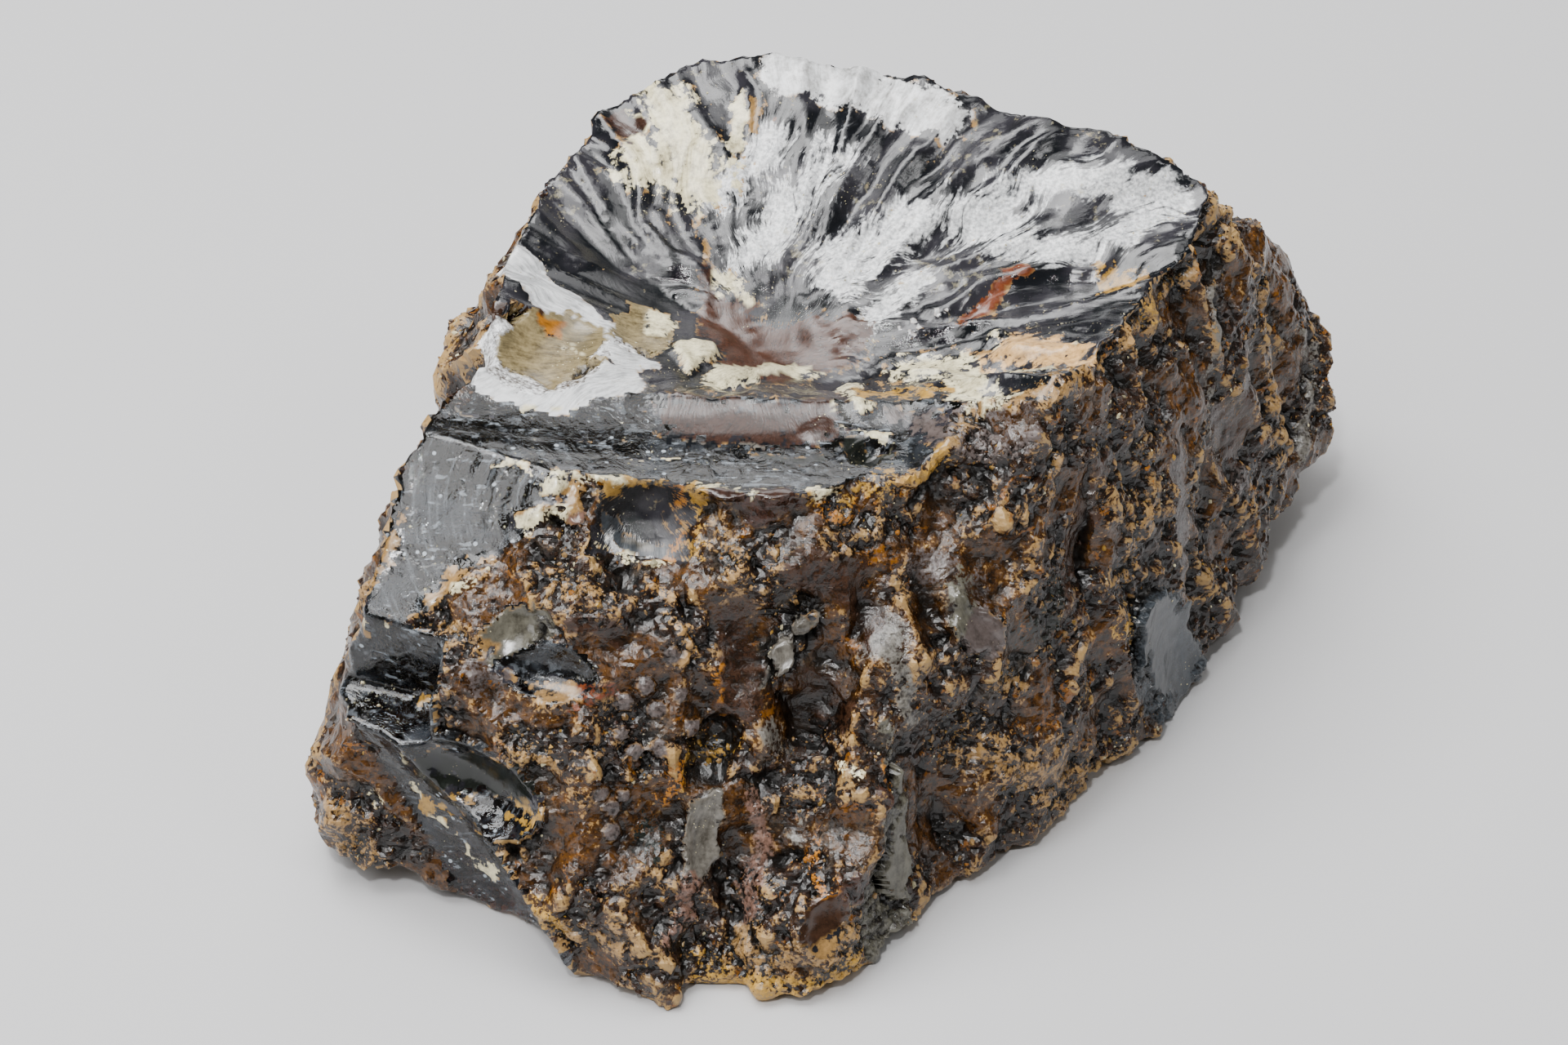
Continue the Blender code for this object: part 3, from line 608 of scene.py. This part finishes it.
print("scene: streaks and patches")
wobble = [noiseAt(points, 3.4, s) * 1.3 + noiseAt(points, 1.3, s) * 0.6 for s in (3.3, 17.1, 29.7)]
strayed = points + np.stack(wobble, 1)
share = np.full(len(points), -1.0)  # 1 in the middle of a streak, 0 at its edge, -1 outside all
tint = np.zeros((len(points), 3))
flat = np.zeros(len(points))
lift = np.zeros(len(points))
for streak in streaks:
    name, route, wide, ragged, smooth, rise = (*streak, 0, 0)[:6]
    route = route if len(route) > 1 else route + [tuple(np.array(route[0]) + (0.01, 0, 0))]
    level = np.clip((1 - offRoute(strayed, route) / wide) / max(ragged, 0.1), -1, 1)
    level = level * (1 - 0.35 * ragged)
    level = np.where(normals[:, 1] < 0.75, level, -1)
    over = (level > -0.9) & (level > share - 0.6)
    tint[over] = tints[name]
    flat = np.maximum(flat, smooth * swell(level + 0.6))
    lift = np.maximum(lift, rise * swell(level + 0.3))
    share = np.where(over, np.maximum(level, share), share)
for name, blow in blows.items():
    if blow["skin"] in tints:
        white = (tint == tints["white"]).all(1) & (fresh > 0.5)
        bare = (kind == kindOf[name]) & ((share < 0) | white)
        share[bare], tint[bare] = 1.0, tints[blow["skin"]]
for at in granules["at"]:
    off = np.linalg.norm(points - np.array(at), axis=1) / granules["radius"]
    dome = np.sqrt(np.clip(1 - (off / 1.25) ** 2, 0, 1))
    lift = np.maximum(lift, granules["lift"] * dome)
    tint[off < 1.2], share[off < 1.2], flat[off < 1.2] = tints["lilac"], 0.8, 0.7
for name, blow in blows.items():
    if blow["skin"] == "crust":
        on = (kind == kindOf[name]) & (share < 0.3)
        share[on], tint[on] = 0.3, tints["lilac"]
resin = swell(noiseAt(points + warp, 5.6, 31.0) * 4.0 + 0.05)
right = (points[:, 0] > fluted["from"])[:, None]
upright = np.where(right, np.array(fluted["stretch"]), np.array((1.0, 1.0, 0.8)))
lumps = crestsAt((points + warp) * upright, rind["lumps"]["size"], 21.0, 2.6)
plain, filled = 1 - 0.85 * flat, 1 - 0.6 * resin
relief = rind["lumps"]["height"] * (lumps - 0.45) * (1 - 0.6 * flat) / np.maximum(plain * filled, 0.1)
relief += rind["blocks"]["height"] * (block - 0.6)
relief += rind["ridges"]["height"] * (ridge - 0.3) * (0.35 + 0.65 * patchy)
relief += rind["crumbs"]["height"] * (crumb - 0.5)
relief += rind["grit"]["height"] * grit
points += normals * (relief * crust * plain * filled + lift * (points[:, 2] > sole["noLiftBelow"]))[:, None]
points[:, 2] = np.maximum(points[:, 2], 0)
points[underside, 2] = np.where(points[underside, 2] < sole["flatBelow"], 0, points[underside, 2])
writePoints(mesh, points)


def keep(name, values):
    kept = mesh.attributes.new(name, "FLOAT_VECTOR" if values.ndim == 2 else "FLOAT", "POINT")
    kept.data.foreach_set("vector" if values.ndim == 2 else "value", values.astype(np.float32).ravel())


# How far each point stands above its surroundings: crumbs' tops are pale, and hollows are darkened as painted
# shade.
spread = points.copy()
for _ in range(6):
    spread = averaged(spread, edges, count)
keep("crest", np.clip(np.einsum("ij,ij->i", points - spread, normals) / 0.5, -1, 1))
for _ in range(18):
    spread = averaged(spread, edges, count)
keep("hollow", np.clip(-np.einsum("ij,ij->i", points - spread, normals) / 0.8, -1, 1))
# Places along and across the rays of the top, and of the round chip, which has its own.
plume = np.stack([np.cos(bent) * 8, np.sin(bent) * 8, far * 1.6], 1)
on = np.nonzero(kind == kindOf["roundChip"])[0]
local = (points[on] - np.array(rings["roundChip"]["from"])) @ blowAxes(blows["roundChip"])
ray = np.arctan2(local[:, 1], local[:, 0]) + 0.1 * noiseAt(points[on], 2.0)
plume[on] = np.stack([np.cos(ray) * 14, np.sin(ray) * 14, np.hypot(local[:, 0], local[:, 1]) * 0.25], 1)
keep("plume", plume)
# Places along and across the arcs about where each break was struck.
arcs = points * 0.35
for name, ring in rings.items():
    on = np.nonzero(kind == kindOf[name])[0]
    off = points[on] - np.array(ring["from"])
    length = np.linalg.norm(off, axis=1)
    arcs[on] = off / np.maximum(length, 0.5)[:, None] * 1.2 + length[:, None] * np.array((1.1, 0.7, -0.9))
keep("arcs", arcs)
# painted glare: pales the splintered face's colour along the routes above, less near the pit
glare = np.full(len(points), -1.0)
for route, wide in glares:
    glare = np.maximum(glare, np.clip((1 - offRoute(strayed, route) / wide) / 1.1, -1, 1))
glare -= 2.5 * swell((10 - reach) / 5)
kept = {"glare": glare, "share": share, "flat": flat, "resin": resin * crust, "tint": tint}
for name, values in kept.items():
    keep(name, values)

print("scene: materials")


def joining(operation, turned=False):
    # a method that joins a socket with another socket or a number
    def method(self, other):
        pair = (other, self) if turned else (self, other)
        return self.owner.maths(operation, *pair)
    return method


class Socket:
    def __init__(self, owner, socket):
        self.owner, self.socket = owner, socket

    def size(self):
        return self.owner.maths("ABSOLUTE", self)

    __add__ = __radd__ = joining("ADD")
    __mul__ = __rmul__ = joining("MULTIPLY")
    __sub__, __rsub__ = joining("SUBTRACT"), joining("SUBTRACT", turned=True)
    most, least = joining("MAXIMUM"), joining("MINIMUM")

    def step(self, low, high):
        # 0 below low, 1 above high, soft between
        ends = {"Value": self, "From Min": low, "From Max": high}
        return self.owner.add("ShaderNodeMapRange", {"interpolation_type": "SMOOTHSTEP"}, ends)


class Finish:
    def __init__(self, name):
        self.material = bpy.data.materials.new(name)
        self.material.use_nodes = True
        self.nodes, self.links = self.material.node_tree.nodes, self.material.node_tree.links
        self.shader = self.nodes["Principled BSDF"]
        self.place = self.add("ShaderNodeTexCoord", {}, {}, "Object")

    def add(self, kind, settings, inputs, out=0):
        # a node of a type, its settings, the values or links of its sockets, and which output is used
        made = self.nodes.new(kind)
        for name, value in settings.items():
            if name == "stops":
                ramp = made.color_ramp
                while len(ramp.elements) < len(value):
                    ramp.elements.new(0.5)
                for element, (spot, colour) in zip(ramp.elements, value):
                    element.position, element.color = spot, (*colour, 1)
            else:
                setattr(made, name, value)
        for name, value in inputs.items() if isinstance(inputs, dict) else enumerate(inputs):
            self.plug(made.inputs[name], value)
        return Socket(self, made.outputs[out])

    def plug(self, socket, value):
        if isinstance(value, Socket):
            self.links.new(value.socket, socket)
        elif isinstance(value, tuple) and socket.type == "RGBA":
            socket.default_value = (*value, 1)
        else:
            socket.default_value = value

    def maths(self, operation, *values):
        return self.add("ShaderNodeMath", {"operation": operation}, values)

    def noiseOn(self, where, scale, detail, rough, warp=0.0):
        # noise on an attribute, or on the object's own place
        inputs = {"Vector": where, "Scale": scale, "Detail": detail, "Roughness": rough, "Distortion": warp}
        return self.add("ShaderNodeTexNoise", {}, inputs, "Fac")

    def noise(self, size, where=None, detail=4, rough=0.55, warp=0.0):
        return self.noiseOn(where or self.place, 1 / (size * mm), detail, rough, warp)

    def cells(self, size):
        inputs = {"Vector": self.place, "Scale": 1 / (size * mm)}
        return self.add("ShaderNodeTexVoronoi", {}, inputs, "Distance")

    def mix(self, share, low, high, blend="MIX"):
        settings = {"data_type": "RGBA", "blend_type": blend}
        return self.add("ShaderNodeMix", settings, {0: share, 6: low, 7: high}, 2)

    def mask(self, name, out="Fac"):
        return self.add("ShaderNodeAttribute", {"attribute_name": name}, {}, out)

    def bump(self, height, distance):
        return self.add("ShaderNodeBump", {}, {"Height": height, "Distance": distance * mm, "Strength": 1.0})

    def coat(self, look, colour, rough, height):
        bump = self.bump(height, look["bump"])
        return self.finish(Base_Color=colour, Roughness=rough, IOR=look["ior"], Normal=bump)

    def finish(self, **sockets):
        for name, value in sockets.items():
            self.plug(self.shader.inputs[name.replace("_", " ")], value)
        return self.material


# Colours go from the darkest to the lightest of each pattern.
rindLook = {
    "ground": [
        (0.4, (0.002, 0.0013, 0.001)), (0.5, (0.01, 0.0045, 0.0025)),
        (0.6, (0.034, 0.015, 0.007)), (0.72, (0.105, 0.055, 0.027)),
    ],
    "resin": ((0.006, 0.0024, 0.001), (0.12, 0.046, 0.006)),
    "ash": ((0.012, 0.009, 0.006), (0.11, 0.084, 0.058)),
    "net": ((0.095, 0.04, 0.01), (0.36, 0.222, 0.08)),
    "orange": (0.21, 0.075, 0.006),
    "streaks": ((0.1, 0.07, 0.05), (1.7, 1.7, 1.7)),
    # painted shade: the near black laid into the rind's hollows
    "pits": (0.002, 0.0014, 0.001),
    "ior": 1.54,
    "bump": 0.12,
}


def rindFinish():
    f, look = Finish("rind"), rindLook
    crest, hollow, resin = f.mask("crest"), f.mask("hollow"), f.mask("resin")
    coarse = f.noise(6.0)
    fine = f.noise(0.9, detail=6, rough=0.65)
    speck = f.noise(0.32, detail=3)
    level = fine * 0.5 + coarse * 0.2 + crest * 0.16 + speck * 0.3
    colour = f.add("ShaderNodeValToRGB", {"stops": look["ground"]}, {"Fac": level})
    colour = f.mix(resin * 0.85, colour, f.mix((fine + speck * 0.4).step(0.5, 0.9), *look["resin"]))
    ash = f.noise(3.2, warp=0.5).step(0.58, 0.65)
    colour = f.mix(ash * 0.45, colour, f.mix(speck.step(0.35, 0.65), *look["ash"]))
    net = 1 - (f.noise(2.3, rough=0.6, warp=1.2) - 0.5).size() * 11
    rich = f.noise(8.0, detail=3).step(0.42, 0.6)
    level = net * 0.32 + crest * 0.4 + fine * 0.9 + speck * 0.6 + rich * 0.3 - resin * 0.3 - hollow * 0.2
    tan = level.step(1.22, 1.4)
    colour = f.mix(tan, colour, f.mix(level.step(1.2, 1.6), *look["net"]))
    orange = (f.noise(3.0, warp=1.5) + speck * 0.3).step(0.78, 0.85)
    colour = f.mix(orange * 0.85, colour, look["orange"])
    patch = f.mask("share") + (fine - 0.5) * 4.4 + (speck - 0.5) * 3.0
    patch = patch + crest * 0.4 + f.mask("flat") * 0.5 - 0.3
    shade = f.mix((fine * 0.7 + speck * 0.5 + crest * 0.12).step(0.46, 0.78), *look["streaks"])
    colour = f.mix(patch.step(0.0, 0.25), colour, f.mix(1.0, f.mask("tint", "Vector"), shade, "MULTIPLY"))
    # painted shade: hollows darkened towards near black, less where crumbs stand up
    colour = f.mix((hollow * 0.9 - crest * 0.8).step(0.1, 0.9) * 0.92, colour, look["pits"])
    rough = 0.12 + fine * 0.14 + tan * 0.25 + ash * 0.1 - resin * 0.06
    height = fine * 0.7 + speck * 0.4
    return f.coat(look, colour, rough, height)


splinterLook = {
    "deep": ((0.004, 0.005, 0.007), (0.024, 0.023, 0.029)),
    "sheen": (0.08, 0.083, 0.094),
    # frosted hackle and painted reflection of the lamps on it
    "frostAndGlare": ((0.36, 0.37, 0.38), (0.9, 0.91, 0.92)),
    "cream": (0.3, 0.27, 0.17),
    "streaks": ((0.2, 0.17, 0.13), (1.6, 1.6, 1.6)),
    "smooth": ((0.4, 0.41, 0.42), (1.2, 1.2, 1.2)),
    "ior": 1.56,
    "bump": 0.06,
}


def splinterFinish():
    f, look = Finish("splintered amber"), splinterLook
    plume, glare, flat = f.mask("plume", "Vector"), f.mask("glare"), f.mask("flat")
    fibres = f.noiseOn(plume, 2.6, 7.0, 0.66)
    hair = f.noiseOn(plume, 8.0, 5.0, 0.6, 0.4)
    broad = f.noise(6.0)
    fine = f.noise(1.0, detail=6, rough=0.65)
    speck = f.noise(0.35, detail=3)
    colour = f.mix(broad.step(0.42, 0.62), *look["deep"])
    colour = f.mix((hair * 0.6 + fibres * 0.6 + glare * 0.15).step(0.55, 0.85) * 0.6, colour, look["sheen"])
    # frosted hackle and painted reflection: near-white streaks along the rays, brightest where glare is
    # painted
    frostAndGlare = (fibres * 1.2 + hair * 0.9 + glare * 0.5 + fine * 0.6 - 0.68).step(0.67, 0.91)
    colour = f.mix(frostAndGlare * 0.9, colour, f.mix(speck.step(0.3, 0.7), *look["frostAndGlare"]))
    cream = (fine + broad * 0.5).step(0.86, 0.96)
    colour = f.mix(cream * 0.55, colour, look["cream"])
    uneven = (fine - 0.5) * 3.2 + (fibres - 0.5) * 2.2
    patch = (f.mask("share") + uneven * (1 - flat * 0.7) + flat * 0.15).step(0.0, 0.25)
    light = (fine * 0.5 + fibres * 0.3 + hair * 0.3 + speck * 0.2).step(0.42, 0.82)
    smooth = f.mix((broad * 0.5 + hair * 0.5).step(0.4, 0.6), *look["smooth"])
    shade = f.mix(flat * 0.7, f.mix(light, *look["streaks"]), smooth)
    colour = f.mix(patch, colour, f.mix(1.0, f.mask("tint", "Vector"), shade, "MULTIPLY"))
    rough = 0.05 + frostAndGlare * 0.1 + fine * 0.05 + patch * 0.08
    height = (fibres + hair * 0.4 + fine * 0.4 + speck * 0.15) * (1 - flat * 0.6)
    return f.coat(look, colour, rough, height)


clearLook = {
    "surface": (1.0, 0.93, 0.82),
    "depth": (0.86, 0.42, 0.12),
    "density": 420.0,
    "stains": (0.04, 0.048, 0.06),
    # pale marks, partly painted highlights on the ripples
    "marksAndHighlights": (0.34, 0.38, 0.42),
    "marksRough": 0.3,
    "ior": 1.54,
    "bump": 0.22,
}


def clearFinish():
    f, look = Finish("clear amber"), clearLook
    ripple = f.noise(2.4, detail=5, warp=0.6)
    scuff = f.noise(1.2)
    depth = f.add("ShaderNodeVolumeAbsorption", {}, {"Color": look["depth"], "Density": look["density"]})
    f.finish(
        Base_Color=look["surface"], Roughness=0.04 + scuff.step(0.5, 0.75) * 0.16, IOR=look["ior"],
        Transmission_Weight=1.0, Normal=f.bump(ripple + scuff * 0.2, look["bump"]),
    )
    # pale specks and stains that lie in the surface, and pale hair lines and arcs that are partly marks in it
    # and partly painted highlights on its ripples
    drawn = f.add("ShaderNodeVectorMath", {"operation": "MULTIPLY"}, [f.place, (0.16, 0.8, 0.8)])
    hair = f.noise(0.55, where=drawn, rough=0.6, warp=0.4)
    arcs = f.noiseOn(f.mask("arcs", "Vector"), 2.0, 5.0, 0.65)
    speck = (0.2 - f.cells(1.3)).step(0.0, 0.06) * f.noise(2.5, detail=2).step(0.5, 0.58)
    # partly painted highlights: pale hair lines and arcs along the ripples
    lines = (hair * 0.75 + scuff * 0.3).step(0.6, 0.66) * 0.6
    curls = (arcs * 0.8 + scuff * 0.35).step(0.6, 0.69) * 0.4
    stain = f.noise(4.0, warp=0.5).step(0.5, 0.66) * 0.4
    marked = f.mix((speck + lines + curls).least(1.0), look["stains"], look["marksAndHighlights"])
    inputs = {"Base Color": marked, "Roughness": look["marksRough"], "IOR": look["ior"]}
    marksAndHighlights = f.add("ShaderNodeBsdfPrincipled", {}, inputs)
    covered = speck.most(lines).most(curls).most(stain)
    both = f.add("ShaderNodeMixShader", {}, [covered, Socket(f, f.shader.outputs[0]), marksAndHighlights])
    output = f.nodes["Material Output"]
    f.plug(output.inputs["Surface"], both)
    f.plug(output.inputs["Volume"], depth)
    return f.material


mesh.materials.clear()
for finish in (rindFinish(), clearFinish(), splinterFinish()):
    mesh.materials.append(finish)
rindSlot, clearSlot, splinterSlot = 0, 1, 2

glassBlows = [kindOf[name] for name, blow in blows.items() if blow["skin"] == "glass"]
clear = (kind == kindOf["step"]) | np.isin(kind, glassBlows)
clear |= (kind == kindOf["top"]) & (face == "shelf")
clear &= share + noiseAt(points, 0.9, 7.7) * 0.6 < 0
slotOf = np.where(fresh < 0.55, rindSlot, np.where(clear, clearSlot, splinterSlot))
corners = column(mesh.loops, "vertex_index", int, 1)[:, 0]
starts = column(mesh.polygons, "loop_start", int, 1)[:, 0]
slot = slotOf[corners[starts]]
mesh.polygons.foreach_set("material_index", slot.astype(np.int32))
mesh.polygons.foreach_set("use_smooth", slot != rindSlot)
mesh.update()
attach(body, "root")
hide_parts("amber")

print("scene: grains on the rind")
grains = {
    "rindCrumbs": {"count": 7000, "faces": 20, "size": (0.13, 0.38), "seed": 3, "on": "rind"},
    "rindGrit": {"count": 16000, "faces": 8, "size": (0.1, 0.26), "seed": 5, "on": "rind"},
    "paleDust": {"count": 1500, "faces": 8, "size": (0.05, 0.16), "seed": 9, "on": "glass"},
}
grainShape = {
    "stretch": (0.55, 1.35),
    "dents": 0.22,
    "sunk": 0.45,  # share of its size that a grain is let into the surface
    "brightness": (0.55, 1.3),
    "asBelow": 0.8,  # share of the grains on a streak that take its tint
}
# Tints of the grains off the streaks, and how common each is.
grainTints = {
    "brown": 0.52, "tan": 0.16, "cream": 0.03, "gold": 0.04, "orange": 0.03, "lilac": 0.04, "maroon": 0.15,
}
grainLook = {"shade": ((0.45, 0.43, 0.4), (1.5, 1.5, 1.45)), "ior": 1.54, "bump": 0.1}


def grainFinish():
    f, look = Finish("loose grains"), grainLook
    fine = f.noise(0.5)
    colour = f.mix(1.0, f.mask("grain", "Color"), f.mix(fine, *look["shade"]), "MULTIPLY")
    rough = 0.14 + fine * 0.25
    return f.coat(look, colour, rough, fine)


def turns(rng, count):
    # random rotations
    turned = rng.normal(size=(count, 4))
    turned /= np.linalg.norm(turned, axis=1)[:, None]
    w, x, y, z = turned.T
    return np.stack([
        1 - 2 * (y * y + z * z), 2 * (x * y - z * w), 2 * (x * z + y * w),
        2 * (x * y + z * w), 1 - 2 * (x * x + z * z), 2 * (y * z - x * w),
        2 * (x * z - y * w), 2 * (y * z + x * w), 1 - 2 * (x * x + y * y),
    ], 1).reshape(-1, 3, 3)


def scatter(name, grain, finish):
    rng, count = np.random.default_rng(grain["seed"]), grain["count"]
    bm = bmesh.new()
    if grain["faces"] == 20:
        bmesh.ops.create_icosphere(bm, subdivisions=1, radius=1)
    else:
        bmesh.ops.create_uvsphere(bm, u_segments=4, v_segments=2, radius=1)
    shape = np.array([v.co for v in bm.verts])
    sides = np.array([[v.index for v in f.verts] for f in bm.faces])
    bm.free()
    mesh.calc_loop_triangles()
    triangles = column(mesh.loop_triangles, "vertices", int)
    a, b, c = (points[triangles[:, i]] for i in range(3))
    cross = np.cross(b - a, c - a)
    area = np.linalg.norm(cross, axis=1)
    middles = (a + b + c) / 3
    if grain["on"] == "rind":
        chance = crust[triangles].mean(1) * (1 - 0.8 * flat[triangles].mean(1))
        chance = chance * (1 - 0.85 * resin[triangles].mean(1))
        often = 0.06 + 0.94 * swell(0.3 + noiseAt(middles, 4.0, 3.3) * 2.2)
        chance = chance * often * (middles[:, 2] > 0.7)
    else:
        chance = (fresh[triangles].mean(1) > 0.8) * swell(0.1 + noiseAt(middles, 6.0, 1.3) * 1.6)
        chance = chance * (cross[:, 2] > 0)
    chance = chance * area
    chosen = rng.choice(len(triangles), count, p=chance / chance.sum())
    mix = rng.dirichlet((1, 1, 1), count)
    at = mix[:, :1] * a[chosen] + mix[:, 1:2] * b[chosen] + mix[:, 2:] * c[chosen]
    out = cross[chosen] / area[chosen, None]
    small, big = grain["size"]
    size = small + (big - small) * rng.random(count) ** 2
    spin = turns(rng, count)
    stretch = rng.uniform(*grainShape["stretch"], (count, 1, 3))
    dents = 1 + rng.uniform(-grainShape["dents"], grainShape["dents"], (count, len(shape), 1))
    placed = np.einsum("gij,gvj->gvi", spin, shape[None] * stretch * dents) * size[:, None, None]
    placed += (at - out * size[:, None] * grainShape["sunk"])[:, None]
    placed = (placed.reshape(-1, 3) - middle) * mm
    placed[:, 2] = np.maximum(placed[:, 2], 0)
    faces = sides[None] + (np.arange(count) * len(shape))[:, None, None]
    made = bpy.data.meshes.new(name)
    made.from_pydata(placed.tolist(), [], faces.reshape(-1, sides.shape[1]).tolist())
    colours, weights = np.array([tints[t] for t in grainTints]), np.array(list(grainTints.values()))
    picked = colours[rng.choice(len(colours), count, p=weights / weights.sum())]
    if grain["on"] == "glass":
        picked = np.tile(tints["cream"], (count, 1))
    nearShare, nearTint = share[triangles[chosen, 0]], tint[triangles[chosen, 0]]
    take = (nearShare > -0.1) & (rng.random(count) < grainShape["asBelow"]) & (grain["on"] == "rind")
    picked = np.where(take[:, None], nearTint, picked) * rng.uniform(*grainShape["brightness"], (count, 1))
    rgba = np.ones((count, len(shape), 4), np.float32)
    rgba[:, :, :3] = picked[:, None]
    made.attributes.new("grain", "FLOAT_COLOR", "POINT").data.foreach_set("color", rgba.ravel())
    made.materials.append(finish)
    piece = shown(name, made)
    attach(piece, "root")
    print("scene:", name, len(made.polygons), "faces")


loose = grainFinish()
for name, grain in grains.items():
    scatter(name, grain, loose)

print("scene: floor, lights and camera")
studio = {
    "floorSize": 3,  # metres
    "floorBelow": 0.2,
    "floorColour": (0.56, 0.56, 0.57),
    "floorRoughness": 0.6,
    "skyColour": (1.0, 0.96, 0.88),
    "skyStrength": 0.14,
}
lights = {
    # azimuth, elevation, distance, size and power
    "overhead": (-112, 68, 0.8, 0.5, 8),
    "above": (180, 74, 1.1, 0.8, 6),
    "behind": (176, 24, 1.1, 0.4, 1.3),
    "front": (-43, 53, 1.1, 0.56, 5.2),
    "left": (-61, 16, 1.1, 0.34, 1.6),
    "spark": (-14, 60, 0.9, 0.06, 3.5),
    "right": (60, 50, 1.0, 0.2, 1.1),
}
bm = bmesh.new()
bmesh.ops.create_grid(bm, x_segments=1, y_segments=1, size=studio["floorSize"])
bmesh.ops.translate(bm, verts=bm.verts[:], vec=(0, 0, -studio["floorBelow"] * mm))
floorMesh = bpy.data.meshes.new("floor")
bm.to_mesh(floorMesh)
bm.free()
floor = shown("floor", floorMesh)
paint = Finish("floor").finish(Base_Color=studio["floorColour"], Roughness=studio["floorRoughness"])
floorMesh.materials.append(paint)

world = bpy.data.worlds.new("studio")
bpy.context.scene.world = world
world.use_nodes = True
sky = world.node_tree.nodes["Background"].inputs
sky["Color"].default_value = (*studio["skyColour"], 1)
sky["Strength"].default_value = studio["skyStrength"]


def aim(piece, place, away):
    # puts a lamp or the camera in its place, looking back along the way it was moved
    piece.location = place
    piece.rotation_mode = "QUATERNION"
    piece.rotation_quaternion = (-away).to_track_quat("-Z", "Y")


for name, (azimuth, elevation, distance, size, power) in lights.items():
    lamp = bpy.data.lights.new(name, "AREA")
    lamp.size, lamp.energy = size, power
    away = facing(azimuth, elevation)
    aim(shown(name, lamp), away * distance, away)

view = bpy.data.cameras.new("camera")
view.lens, view.sensor_width = camera["lens"], camera["sensor"]
eye = shown("camera", view)
away = facing(0, camera["elevation"])
aim(eye, Vector((np.array(camera["lookAt"]) - middle) * mm) + away * camera["away"] * mm, away)
bpy.context.scene.camera = eye
